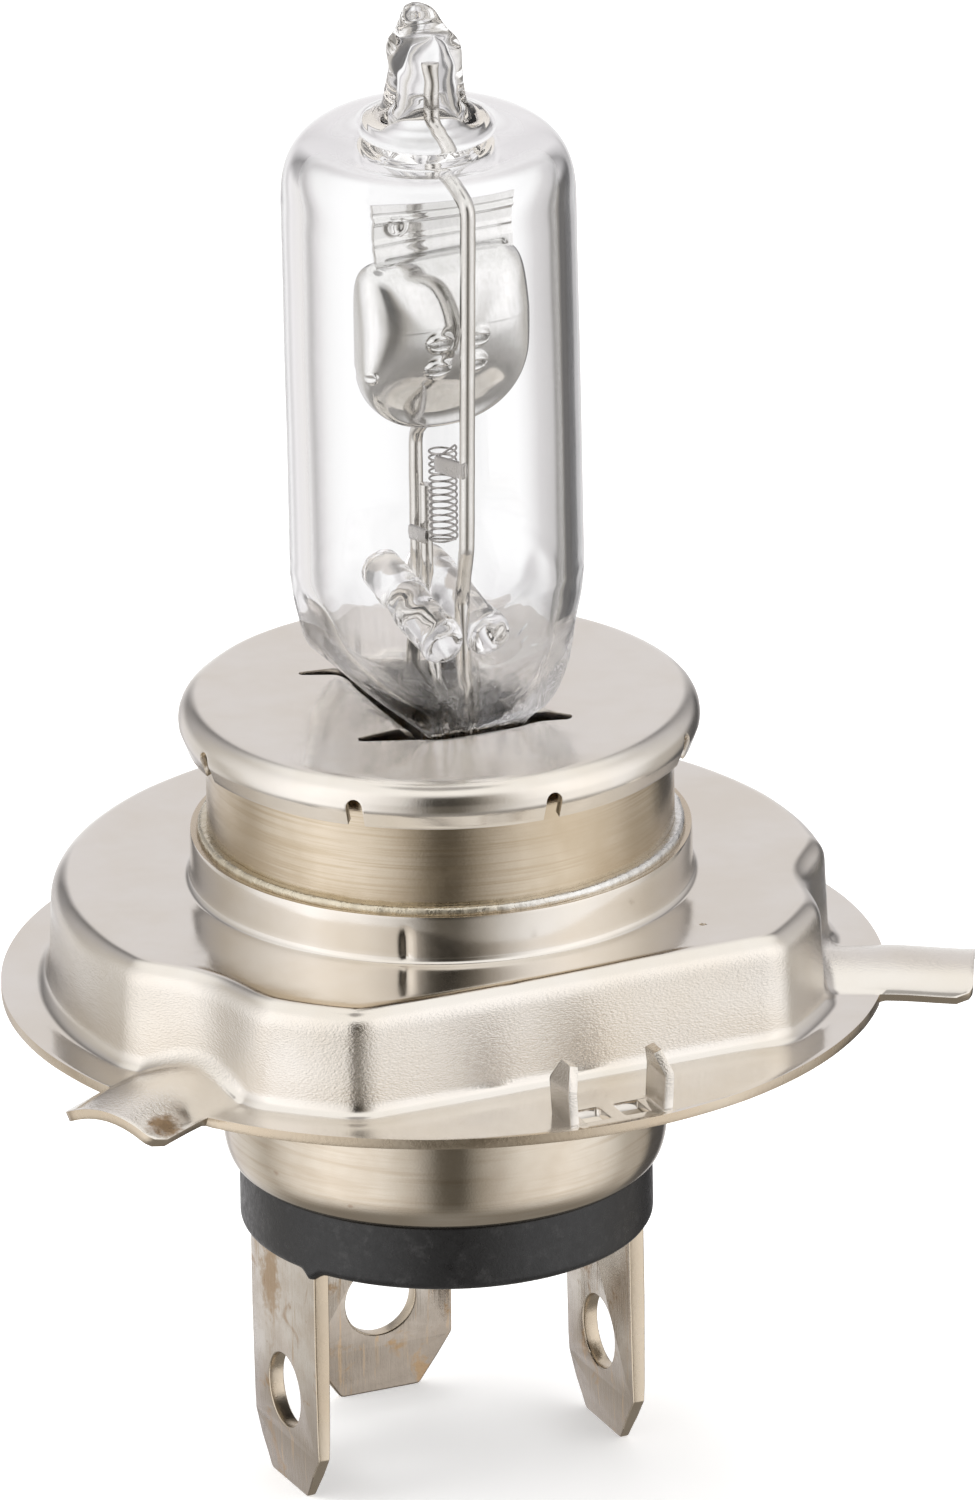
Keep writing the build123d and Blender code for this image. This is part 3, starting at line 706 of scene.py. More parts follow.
def lug_end_reach(side, lug):
    """How far the lug reaches at a place across its width, with rounded corners."""
    corner = 0.8
    past = max(0.0, abs(side) - (LUG_HALF_WIDTH - corner))
    trimmed = LUG_TRIM if lug == LUG_ANGLES[2] else 0.0
    return LUG_REACH - trimmed - (corner - math.sqrt(max(0.0, corner ** 2 - past ** 2)))


def build_base_ring():
    columns = ring_columns()
    count = len(columns)
    stacks = [ring_column_points(*column) for column in columns]
    rows = len(stacks[0])
    verts = [stacks[c][r] for r in range(rows) for c in range(count)]
    faces = grid_faces(rows, count, wrap_columns=True)
    rim_row = (rows - 1) * count
    steps = 14
    c = 0
    while c < count:
        if columns[c][2] is None:
            c += 1
            continue
        group = [c]
        while c + 1 < count and columns[c + 1][2] is not None:
            c += 1
            group.append(c)
        c += 1
        previous = [rim_row + g for g in group]
        for step in range(1, steps + 1):
            current = []
            for g in group:
                lug, side = columns[g][2:]
                start = math.sqrt(FLANGE_RADIUS ** 2 - side ** 2)
                reach = start + (lug_end_reach(side, lug) - start) * step / steps
                droop = LUG_DROOP * smoothstep(FLANGE_RADIUS, LUG_REACH, reach)
                x, y = polar(1.0, lug)
                current.append(len(verts))
                verts.append((x * reach - y * side, y * reach + x * side, lug_arch(side) - droop))
            for k in range(len(group) - 1):
                faces.append((previous[k], previous[k + 1], current[k + 1], current[k]))
            previous = current
    verts = [(x, y, z + 0.018 * noise.noise(Vector((x, y, z)) * 0.35)) for x, y, z in verts]
    obj = make_object("base_ring_body", verts, faces, outward=False)
    solid = obj.modifiers.new("sheet", "SOLIDIFY")
    solid.thickness = SHEET * MM
    solid.offset = 1.0
    solid.use_even_offset = True
    solid.material_offset_rim = 1
    obj.data.materials.append(ring_look)
    obj.data.materials.append(edge_look)
    apply_modifiers(obj)
    return obj


def prism(outline, low, high):
    """A flat (x, y) outline as a solid between two heights."""
    count = len(outline)
    verts = [(x, y, low) for x, y in outline] + [(x, y, high) for x, y in outline]
    faces = grid_faces(2, count, wrap_columns=True)
    faces.append(tuple(range(count))[::-1])
    faces.append(tuple(range(count, 2 * count)))
    return verts, faces


def slot_outline(start, end, width_start, width_end, steps=8):
    """A round-ended slot between two points, which may taper."""
    a, b = Vector(start), Vector(end)
    along = (b - a).normalized()
    first = math.atan2(along.y, along.x)
    outline = []
    for centre, radius, turn in ((b, width_end / 2, -math.pi / 2), (a, width_start / 2, math.pi / 2)):
        for k in range(steps + 1):
            angle = first + turn + math.pi * k / steps
            outline.append((centre.x + radius * math.cos(angle), centre.y + radius * math.sin(angle)))
    return outline


def stop_tab(side):
    """A leaf bent up from the flange, leaning in a little at its rounded top."""
    spine = bent_path(
        [
            (side * (TAB_OFFSET - 0.75), 0, -SHEET / 2),
            (side * TAB_OFFSET, 0, -SHEET / 2),
            (side * (TAB_OFFSET + 0.12), 0, 1.8),
            (side * (TAB_OFFSET - 0.25), 0, TAB_HEIGHT),
        ],
        0.55, 6,
    )
    columns = 14
    half = SHEET / 2 * 0.9
    verts = []
    for i, point in enumerate(spine):
        after, before = spine[min(i + 1, len(spine) - 1)], spine[max(i - 1, 0)]
        tangent = (after - before).normalized()
        normal = Vector((tangent.z, 0, -tangent.x))
        top = smoothstep(TAB_HEIGHT - 1.1, TAB_HEIGHT, point.z)
        reach = TAB_LENGTH / 2 * (1 - 0.55 * top ** 2)
        for face_side in (1, -1):
            row = range(columns + 1) if face_side == 1 else range(columns, -1, -1)
            for k in row:
                along = reach * (2 * k / columns - 1)
                p = point + normal * (half * face_side)
                verts.append((p.x, -TAB_RADIUS - 0.15 + along, p.z))
    ring = 2 * (columns + 1)
    faces = capped_faces(len(spine), ring)
    return verts, faces


def make_base_ring():
    obj = build_base_ring()
    windows = []
    for side in (-1, 1):
        low_x, high_x = sorted((side * 0.35, side * (TAB_OFFSET - 0.2)))
        outline = rounded(
            [
                (low_x, -TAB_RADIUS - 0.9, 0.2), (high_x, -TAB_RADIUS - 0.9, 0.2),
                (high_x, -TAB_RADIUS + 0.75, 0.2), (low_x, -TAB_RADIUS + 0.75, 0.2),
            ], 4,
        )
        windows.append(prism(outline, -1.2, 0.9))
    pit = [(8.44 + x, -12.03 + y) for x, y in circle(0.17, 16)]
    windows.append(prism(pit, HUB_HEIGHT - 0.3, HUB_HEIGHT + 0.5))
    cut(obj, make_object("cutter", *joined(windows)))
    for side in (-1, 1):
        cut(obj, make_object("tab", *stop_tab(side)), "UNION")
    bevel(obj, 0.11, 2, 60)
    apply_modifiers(obj)
    return finish_piece(obj, (ring_look, edge_look), ("base_ring",))


# ---------------------------------------------------------------- cap, sleeve, solder, shell

# (inner end, outer end, width at the opening, width at the outer end)
SLITS = (
    ((2.3, -4.4), (4.1, -5.65), 2.4, 0.8),
    ((-2.3, -4.5), (-5.75, -4.05), 2.4, 0.6),
    ((-2.5, 4.4), (-4.93, 5.1), 1.2, 0.45),
    ((2.5, 4.4), (4.93, 5.1), 1.2, 0.45),
)
OPENING_GAP = 0.25
LIP_BEND = 1.15


def superellipse(half_x, half_y, power, angle):
    """Point of a rounded rectangle at an angle about its centre."""
    c, s = math.cos(angle), math.sin(angle)
    radius = (abs(c / half_x) ** power + abs(s / half_y) ** power) ** (-1 / power)
    return radius * c, radius * s


def make_cap_disc():
    count = 420
    half_x, half_y = PINCH_HALF_X + OPENING_GAP, PINCH_HALF_Y + OPENING_GAP
    edge_round = 1.15
    verts = []
    rows = []
    for k in range(5):
        rows.append(("lip", 0.0, CAP_LOW.z + (CAP_TOP - LIP_BEND - CAP_LOW.z) * k / 5))
    for k in range(9):
        turn = math.pi / 2 * k / 8
        rows.append(("lip", LIP_BEND * (1 - math.cos(turn)), CAP_TOP - LIP_BEND * (1 - math.sin(turn))))
    for k in range(1, 16):
        rows.append(("flat", k / 16, CAP_TOP))
    for k in range(10):
        turn = math.radians(100) * k / 9
        inset, drop = edge_round * (1 - math.sin(turn)), edge_round * (1 - math.cos(turn))
        rows.append(("rim", CAP_RADIUS - inset, CAP_TOP - drop))
    last_r, last_z = rows[-1][1], rows[-1][2]
    for k in range(1, 5):
        t = k / 4
        reach = last_r + (CAP_RADIUS - 0.36 - last_r) * t
        rows.append(("rim", reach, last_z + (CAP_SKIRT_BOTTOM - last_z) * t))
    for kind, a, z in rows:
        for c in range(count):
            angle = math.tau * c / count
            if kind == "lip":
                x, y = superellipse(half_x + a, half_y + a, 5.0, angle)
            elif kind == "rim":
                ripple = 0.035 * noise.noise(Vector((math.cos(angle), math.sin(angle), z * 0.15)) * 3.0)
                x, y = (a + ripple) * math.cos(angle), (a + ripple) * math.sin(angle)
            else:
                inner = Vector(superellipse(half_x + LIP_BEND, half_y + LIP_BEND, 5.0, angle))
                outer_radius = CAP_RADIUS - edge_round
                outer = Vector((outer_radius * math.cos(angle), outer_radius * math.sin(angle)))
                x, y = inner.lerp(outer, a)
            lift = 0.02 * noise.noise(Vector((x, y, 0)) * 0.3)
            verts.append((x, y, z + lift - 0.02))
    faces = grid_faces(len(rows), count, wrap_columns=True)
    obj = make_object("cap_disc_body", verts, faces, outward=False)
    solid = obj.modifiers.new("sheet", "SOLIDIFY")
    solid.thickness = 0.42 * MM
    solid.offset = 1.0
    solid.use_even_offset = True
    solid.material_offset_rim = 1
    obj.data.materials.append(cap_look)
    obj.data.materials.append(edge_look)
    apply_modifiers(obj)
    cutters = [prism(slot_outline(*slit), 11.5, 15.5) for slit in SLITS]
    for index in range(8):
        turn = 45 * index + 2
        x, y = polar(1.0, turn)
        outline = slot_outline((0, 10.9), (0, 13.35), 0.85, 0.85)
        notch = [
            (x * r - y * s, y * r + x * s, z)
            for r in (11.3, 13.4)
            for s, z in outline
        ]
        n = len(outline)
        notch_faces = grid_faces(2, n, wrap_columns=True)
        notch_faces.append(tuple(range(n))[::-1])
        notch_faces.append(tuple(range(n, 2 * n)))
        cutters.append((notch, notch_faces))
    cut(obj, make_object("cutter", *joined(cutters)))
    bevel(obj, 0.07, 2, 60)
    apply_modifiers(obj)
    return finish_piece(obj, (cap_look, edge_look), ("cap_disc",))


def make_sleeve():
    inner = SLEEVE_RADIUS - SLEEVE_WALL
    profile = rounded([
        (SLEEVE_RADIUS, SLEEVE_LOW.z, 0.1), (SLEEVE_RADIUS, 6.0, 0), (SLEEVE_RADIUS, 8.0, 0),
        (SLEEVE_RADIUS, 9.5, 0), (SLEEVE_RADIUS, 11.0, 0), (SLEEVE_RADIUS, 12.5, 0),
        (SLEEVE_RADIUS, SLEEVE_HIGH.z, 0.1), (inner, SLEEVE_HIGH.z, 0.1), (inner, SLEEVE_LOW.z, 0.1),
    ], 3)

    def wobble(angle, radius, z):
        place = Vector((math.cos(angle) * 2.2, math.sin(angle) * 2.2, z * 0.12))
        return 0.02 * noise.noise(place) - 0.01, 0.0

    obj = revolve("burner_sleeve_body", profile, 256, wobble)
    return finish_piece(obj, (sleeve_look,), ("burner_sleeve",))


def make_solder():
    outer = NECK_RADIUS - 0.34
    low = NECK_TOP - 1
    profile = rounded([
        (SLEEVE_RADIUS + 0.01, low, 0.05), (NECK_RADIUS - SHEET - 0.02, low, 0.05),
        (NECK_RADIUS - SHEET - 0.02, NECK_TOP - 0.05, 0.03), (outer, NECK_TOP, 0.05),
        (outer, SOLDER_TOP, 0.26), (SLEEVE_RADIUS + 0.01, SOLDER_TOP, 0.03),
    ], 6)

    def wobble(angle, radius, z):
        if z < NECK_TOP - 0.02:
            return 0.0, 0.0
        place = Vector((math.cos(angle), math.sin(angle), 0.0))
        ripple = noise.noise(place * 9.0 + Vector((0, 0, z))) + 0.6 * noise.noise(place * 24.0)
        outside = smoothstep(SLEEVE_RADIUS + 0.05, outer, radius)
        return 0.04 * ripple * outside - 0.03, 0.035 * ripple * smoothstep(NECK_TOP, SOLDER_TOP, z) - 0.04

    obj = revolve("solder_bead", profile, 420, wobble)
    return finish_piece(obj, (solder_look,), ("solder_ring",), 60)


def make_shell():
    knee = -7.0
    outside = [(SHELL_RADIUS, z) for z in (SHELL_HIGH.z, 3.0, -0.5, -2.5, -4.5, -6.0)]
    for k in range(12):
        t = k / 11
        bulge = math.sqrt(max(0.0, 1 - (0.97 * t) ** 2.4))
        curve = SHELL_RIM_RADIUS + (SHELL_RADIUS - SHELL_RIM_RADIUS) * bulge
        outside.append((curve, knee + (SHELL_BOTTOM + 0.12 - knee) * t))
    rim = SHELL_RIM_RADIUS
    outside += [(rim - 0.03, SHELL_BOTTOM + 0.03), (rim - 0.12, SHELL_BOTTOM)]
    inside = [(radius - SHELL_WALL, z) for radius, z in outside[:-2]][::-1]
    profile = outside + [(rim - SHELL_WALL + 0.05, SHELL_BOTTOM)] + inside

    def wobble(angle, radius, z):
        place = Vector((math.cos(angle) * 1.6, math.sin(angle) * 1.6, z * 0.16))
        return 0.03 * noise.noise(place) - 0.015, 0.0

    obj = revolve("rear_shell_body", profile, 256, wobble)
    return finish_piece(obj, (shell_look,), ("rear_shell",), 50)


# ---------------------------------------------------------------- insulator and blades

BLADES = (
    ("common_terminal", "x", -1),
    ("main_beam_terminal", "x", 1),
    ("dipped_beam_terminal", "y", 1),
)


BLADE_GAP = 0.07


def make_insulator():
    low, high = INSULATOR_LOW.z, INSULATOR_HIGH.z
    plug = SHELL_RIM_RADIUS - SHELL_WALL - 0.1
    profile = rounded([
        (8.0, low, 0), (INSULATOR_RADIUS, low, 0.5), (INSULATOR_RADIUS, -11.6, 0),
        (INSULATOR_RADIUS, -10.4, 0), (INSULATOR_RADIUS, SHELL_BOTTOM - 0.02, 0.1),
        (plug, SHELL_BOTTOM - 0.02, 0.05), (plug, high, 0.1), (8.0, high, 0),
    ], 6, closed=False)
    segments = 256
    flash_angle = math.radians(-155.6)
    verts = []
    for radius, z in profile:
        for k in range(segments):
            angle = math.tau * k / segments
            away = math.remainder(angle - flash_angle, math.tau) * INSULATOR_RADIUS
            drip = math.exp(-(away / 0.42) ** 2) * smoothstep(-11.9, -12.6, z) * smoothstep(8.5, 9.9, radius)
            edge = 0.02 * noise.noise(Vector((math.cos(angle) * 6, math.sin(angle) * 6, z)))
            r = radius - 0.015 + edge * 0.5 + 0.12 * drip
            verts.append((r * math.cos(angle), r * math.sin(angle), z - 0.42 * drip))
    faces = capped_faces(len(profile), segments)
    obj = make_object("insulator_body", verts, faces)
    slots = []
    for node, *_ in BLADES:
        blade_low, blade_high = extent(node)
        left, front = blade_low.x - BLADE_GAP, blade_low.y - BLADE_GAP
        right, back = blade_high.x + BLADE_GAP, blade_high.y + BLADE_GAP
        corners = [(left, front, 0.1), (right, front, 0.1), (right, back, 0.1), (left, back, 0.1)]
        slots.append(prism(rounded(corners, 3), low - 1, low + 2.1))
    cut(obj, make_object("cutter", *joined(slots)))
    bevel(obj, 0.05, 2, 70)
    apply_modifiers(obj)
    return finish_piece(obj, (plastic_look,), ("insulator",))


def make_blade(node, axis, side):
    """A stamped blade: bevelled edges, a punched hole and a thinned, chamfered point."""
    low, high = extent(node)
    width = max(high.x - low.x, high.y - low.y)
    thickness = min(high.x - low.x, high.y - low.y)
    half, tip, shoulder = width / 2, low.z, -10.6
    edge = 0.1
    outline = rounded([
        (-2.1, tip, 0.35), (2.1, tip, 0.35), (half, tip + 2.5, 0.3), (half, shoulder, 0.2),
        (2.8, shoulder, 0.1), (2.8, -6.4, 0.1), (1.5, -6.4, 0.1), (1.5, high.z, 0.2), (-1.5, high.z, 0.2),
        (-1.5, -6.4, 0.1), (-2.8, -6.4, 0.1), (-2.8, shoulder, 0.1), (-half, shoulder, 0.2),
        (-half, tip + 2.5, 0.3),
    ], 4)
    hole = [(x, z - 20.5) for x, z in circle(1.75 + edge, 64)]
    curve = bpy.data.curves.new(node, "CURVE")
    curve.dimensions = "2D"
    curve.fill_mode = "BOTH"
    curve.extrude = (thickness / 2 - edge) * MM
    curve.bevel_depth = edge * MM
    curve.bevel_resolution = 2
    curve.offset = -edge * MM
    for loop in (outline, hole):
        line = curve.splines.new("POLY")
        line.points.add(len(loop) - 1)
        for point, (x, z) in zip(line.points, loop):
            point.co = (x * MM, z * MM, 0, 1)
        line.use_cyclic_u = True
    flat = bpy.data.objects.new(node, curve)
    scene.collection.objects.link(flat)
    depsgraph = bpy.context.evaluated_depsgraph_get()
    mesh = bpy.data.meshes.new_from_object(flat.evaluated_get(depsgraph))
    bpy.data.objects.remove(flat)
    bm = bmesh.new()
    bm.from_mesh(mesh)
    bmesh.ops.remove_doubles(bm, verts=bm.verts, dist=0.002 * MM)
    for z in (tip + 3.4, tip + 2.4, tip + 1.4, tip + 0.6, -14.0, -17.5):
        geometry = bm.verts[:] + bm.edges[:] + bm.faces[:]
        bmesh.ops.bisect_plane(bm, geom=geometry, plane_co=(0, z * MM, 0), plane_no=(0, 1, 0))
    place = (low + high) / 2
    seed = Vector((side * 3.0, 5.0 if axis == "y" else 0.0, 0.0))
    for vert in bm.verts:
        across, z, depth = vert.co / MM
        thin = 1 - 0.45 * smoothstep(tip + 2.9, tip, z)
        rim_thin = 1 - 0.25 * smoothstep(half - 0.9, half, abs(across)) * smoothstep(-20.5, -23, z)
        depth *= thin * rim_thin
        ripple = noise.noise(Vector((across * 0.25, z * 0.12, 0)) + seed)
        depth += 0.05 * ripple * smoothstep(-13, -16, z)
        if axis == "x":
            vert.co = Vector((place.x + depth, across, z)) * MM
        else:
            vert.co = Vector((across, place.y + depth, z)) * MM
    bmesh.ops.recalc_face_normals(bm, faces=bm.faces)
    bm.to_mesh(mesh)
    bm.free()
    face_axis = 0 if axis == "x" else 1
    for face in mesh.polygons:
        face.material_index = 1 if abs(face.normal[face_axis]) < 0.8 else 0
    obj = bpy.data.objects.new(node + "_blade", mesh)
    scene.collection.objects.link(obj)
    return finish_piece(obj, (terminal_look, edge_look), (node,), 30)


# ---------------------------------------------------------------- glass envelope

GLASS_SIDES = 224
INNER_RADIUS = GLASS_RADIUS - GLASS_WALL
THROAT_RADIUS = 2.9
INNER_DOME_HEIGHT = 3.3
INNER_DOME_POWER = 4.0
# Height at which the inner dome has narrowed to the throat
THROAT_BOTTOM = TUBE_TOP + INNER_DOME_HEIGHT * (
    1 - (THROAT_RADIUS / INNER_RADIUS) ** INNER_DOME_POWER
) ** (1 / INNER_DOME_POWER)
GlassSurface = namedtuple("GlassSurface", "slab size power blend radius dome_height dome_power throat lean")
# Each key is (height, value): half distance between the jaws, size of the section and its squareness
OUTSIDE = GlassSurface(
    slab=((13.2, 2.55), (14.2, 2.58), (15.2, 3.6), (17.0, 5.6), (18.7, 6.65), (20.2, 7.05), (21.6, 7.6)),
    size=((13.2, 4.75), (14.2, 4.8), (15.2, 5.45), (17.0, 6.2), (18.7, 6.75), (20.4, 7.08), (21.4, 7.15)),
    power=((12.5, 7.0), (14.5, 4.5), (16.5, 2.6), (19.0, 2.0)),
    blend=0.3,
    radius=GLASS_RADIUS,
    dome_height=4.84,
    dome_power=3.15,
    throat=(
        (44.45, 2.95), (44.7, 2.4), (45.0, 2.12), (45.4, 2.0), (45.8, 1.95), (46.3, 1.86), (46.8, 1.84),
        (47.4, 1.83), (47.9, 1.76), (48.3, 1.6), (48.7, 1.34), (49.2, 1.1), (49.7, 0.86), (50.0, 0.6),
        (50.15, 0.3),
    ),
    lean=((45.0, -0.1), (47.9, -0.07), (48.7, -0.2), (49.7, -0.32), (50.2, -0.46)),
)
INSIDE = GlassSurface(
    slab=((14.5, 0.7), (14.9, 1.35), (15.6, 2.6), (17.0, 4.35), (18.7, 5.55), (20.2, 6.05), (21.4, 6.5)),
    size=((14.5, 2.2), (14.9, 3.3), (15.6, 4.3), (17.0, 5.2), (18.7, 5.8), (20.2, 6.1), (21.4, 6.2)),
    power=((14.5, 3.0), (17.0, 2.3), (19.0, 2.0)),
    blend=0.25,
    radius=INNER_RADIUS,
    dome_height=INNER_DOME_HEIGHT,
    dome_power=INNER_DOME_POWER,
    throat=(
        (THROAT_BOTTOM, THROAT_RADIUS), (43.3, 2.3), (43.8, 1.8), (44.4, 1.4), (45.0, 1.12), (45.6, 1.02),
        (46.4, 0.95), (47.0, 0.9), (47.6, 0.7), (48.0, 0.4), (48.3, 0.12),
    ),
    lean=((46.0, 0.0), (48.3, 0.15)),
)
PINCH_TOP = 13.2
INNER_BOTTOM = INSIDE.slab[0][0]


def section_radius(angle, slab, size, power, blend):
    """Radius of a tube squeezed between two flat jaws."""
    c, s = abs(math.cos(angle)), abs(math.sin(angle))
    radius = size * (c ** power + s ** power) ** (-1 / power)
    return smooth_min(radius, slab / max(c, 1e-3), blend)


def leaned(lean, z):
    """Sideways shift of the glass's axis at a height: the tip's own lean and the burner's."""
    return lean * 0.913 + BURNER_LEAN * smoothstep(22, 44, z), lean * -0.407


def glass_point(angle, radius, z, lean):
    """A point of the glass, with the melted unevenness of the tip."""
    melt = smoothstep(45.9, 47.4, z)
    c, s = math.cos(angle), math.sin(angle)
    place = Vector((c * radius, s * radius, z))
    bumps = noise.noise(place * 0.8 + Vector((3.1, 0, 7.0))) + 0.15 * noise.noise(place * 1.5)
    lobes = 0.6 * math.sin(3 * angle + z * 1.3) + 0.4 * math.sin(2 * angle - z * 1.9)
    radius = max(0.03, radius * (1 + melt * (0.08 * bumps + 0.035 * lobes)))
    ripple = 0.02 * noise.noise(place * 0.22) * (1 - melt)
    radius += ripple * smoothstep(14, 18, z) - 0.01
    shift_x, shift_y = leaned(lean, z)
    return (radius * c + shift_x, radius * s + shift_y, z)


def dome_end(surface):
    """Angle above its springing at which the boxy dome meets the throat."""
    return math.acos((surface.throat[0][1] / surface.radius) ** (surface.dome_power / 2))


def glass_ring(surface, kind, at):
    """One ring of points. A dome's ring is placed by its angle, the others by their height."""
    z, lean = at, 0.0
    radii = [surface.radius] * GLASS_SIDES
    angles = [math.tau * k / GLASS_SIDES for k in range(GLASS_SIDES)]
    if kind == "squeezed":
        sizes = [spline(keys, z) for keys in (surface.slab, surface.size, surface.power)]
        radii = [section_radius(angle, *sizes, surface.blend) for angle in angles]
    elif kind == "dome":
        flat = 2 / surface.dome_power
        z = TUBE_TOP + surface.dome_height * math.sin(at) ** flat
        radii = [surface.radius * math.cos(at) ** flat] * GLASS_SIDES
    elif kind == "throat":
        radii = [spline(surface.throat, z)] * GLASS_SIDES
        lean = spline(surface.lean, z)
    return [glass_point(angle, radius, z, lean) for angle, radius in zip(angles, radii)]


def levels(kind, low, high, count, ease=1.0):
    """Places of rings from low up to, but without, high."""
    return [(kind, low + (high - low) * (k / count) ** ease) for k in range(count)]


def glass_mesh(surface, places, foot, top):
    """Rings of one surface of the glass, closed by a fan at each end."""
    verts = [point for kind, at in places for point in glass_ring(surface, kind, at)]
    faces = grid_faces(len(places), GLASS_SIDES, wrap_columns=True)
    end = len(verts)
    last = end - GLASS_SIDES
    verts += [foot, top]
    for c in range(GLASS_SIDES):
        following = (c + 1) % GLASS_SIDES
        faces.append((following, c, end))
        faces.append((last + c, last + following, end + 1))
    return verts, faces


def make_glass():
    outer_tip, inner_tip = OUTSIDE.throat[-1][0], INSIDE.throat[-1][0]
    outer = (
        levels("squeezed", GLASS_LOW.z, PINCH_TOP, 12)
        + levels("squeezed", PINCH_TOP, TUBE_BOTTOM + 0.4, 56)
        + levels("tube", TUBE_BOTTOM + 0.4, TUBE_TOP, 16)
        + levels("dome", 0.0, dome_end(OUTSIDE), 44, 1.3)
        + levels("throat", OUTSIDE.throat[0][0], outer_tip, 75)
        + [("throat", outer_tip)]
    )
    inner = (
        levels("squeezed", INNER_BOTTOM, TUBE_BOTTOM + 0.2, 46, 1.15)
        + levels("tube", TUBE_BOTTOM + 0.2, TUBE_TOP - 0.1, 14)
        + levels("dome", 0.0, dome_end(INSIDE), 36, 1.3)
        + levels("throat", INSIDE.throat[0][0], inner_tip, 39)
        + [("throat", inner_tip)]
    )
    outer_top = (*leaned(OUTSIDE.lean[-1][1], TIP_TOP), TIP_TOP - 0.02)
    inner_top = (*leaned(INSIDE.lean[-1][1], TIP_TOP), inner_tip + 0.1)
    outside = glass_mesh(OUTSIDE, outer, (0.0, 0.0, GLASS_LOW.z), outer_top)
    verts, faces = glass_mesh(INSIDE, inner, (0.0, 0.0, INNER_BOTTOM - 0.2), inner_top)
    inside = (verts, [face[::-1] for face in faces])
    obj = make_object("glass_envelope_body", *joined([outside, inside]), outward=False)
    return finish_piece(obj, (glass_look,), ("glass_envelope",), 60)


def make_rod(node, seed):
    """A melted quartz rod, tilted a little, with uneven rounded ends."""
    low, high = extent(node)
    tilt = math.radians(9.5)
    half, radius = 4.3, (high.x - low.x) / 2
    centre = Vector(((low.x + high.x) / 2, 0.0, (low.z + high.z) / 2))
    along = Vector((0, math.cos(tilt), math.sin(tilt)))
    up = Vector((0, -math.sin(tilt), math.cos(tilt)))
    across = Vector((1, 0, 0))
    rows, sides = 60, 56
    verts = []
    for r in range(rows + 1):
        t = -1 + 2 * r / rows
        place = half * math.sin(t * math.pi / 2 * 0.999)
        end = max(0.0, (abs(place) - (half - 0.8)) / 0.8)
        size = max(0.02, math.sqrt(max(0.0, 1 - end ** 2.2)))
        for k in range(sides):
            angle = math.tau * k / sides
            probe = Vector((math.cos(angle), math.sin(angle), place * 0.55 + seed))
            lump = 0.07 * noise.noise(probe * 1.1) + 0.012 * noise.noise(probe * 2.6)
            for wire_place in (-3.3, 0.7, 2.5):
                lump += 0.07 * math.exp(-((place - wire_place) / 0.55) ** 2) * math.cos(angle)
            reach = radius * size * (0.965 + lump)
            p = centre + along * place + across * (reach * math.cos(angle)) + up * (reach * math.sin(angle))
            verts.append(tuple(p))
    faces = capped_faces(rows + 1, sides)
    obj = make_object(node + "_body", verts, faces)
    return finish_piece(obj, (rod_look,), (node,), 60)


# ---------------------------------------------------------------- shield

def shield_outline(angle):
    """Edge of the shield seen from the front: round below, square-shouldered above."""
    power = 2.35 + 5.5 * smoothstep(-0.1, 0.6, math.sin(angle))
    height = SHIELD_BOWL_HEIGHT if math.sin(angle) < 0 else SHIELD_SHOULDER_Z - SHIELD_CENTRE_Z
    return superellipse(SHIELD_HALF_WIDTH, height, power, angle)


def shield_bead(x, z):
    """Relief of the louvres either side of the front lead: two lips with a slit between."""
    height = 0.0
    for row_z in BEAD_ROWS:
        along = (abs(x - BEAD_MIDDLE) - BEAD_OFFSET) / BEAD_HALF_LENGTH
        window = math.sqrt(max(0.0, 1 - along ** 2))
        if window < 0.05:
            continue
        up = (z - row_z) / (BEAD_HALF_HEIGHT * window)
        if abs(up) > 1.3:
            continue
        upper = math.exp(-((up - 0.45) / 0.36) ** 2)
        slit = 0.75 * math.exp(-((up + 0.12) / 0.16) ** 2)
        lower = 0.75 * math.exp(-((up + 0.6) / 0.22) ** 2)
        height += BEAD_RISE * window ** 0.6 * (upper + lower - slit)
    return height


def shield_pad(spread, z):
    """How far the lower face falls back below the crease that crosses it above the louvres."""
    below = max(0.0, SHIELD_CREASE_Z - z)
    return SHIELD_FALL * below * smoothstep(0.0, 0.2, below) * (1 - spread ** 6)


def tab_profile(z):
    """Forward step of the shield's upright tab at a height, with its pressed folds."""
    y = -0.25 * smoothstep(SLOT_Z + 0.3, SLOT_Z + 0.9, z)
    folds = ((SLOT_Z + 0.95, 0.22, 0.16), (38.95, -0.1, 0.16), (40.0, 0.2, 0.16), (40.3, -0.1, 0.12))
    for height, rise, half in folds:
        y += rise * math.exp(-((z - height) / half) ** 2)
    return y


def pill(x, z, half_length, half_height):
    """Distance of a point inside a long rounded groove's edge, positive inside."""
    along = max(0.0, abs(x) - (half_length - half_height))
    return half_height - math.hypot(along, z)


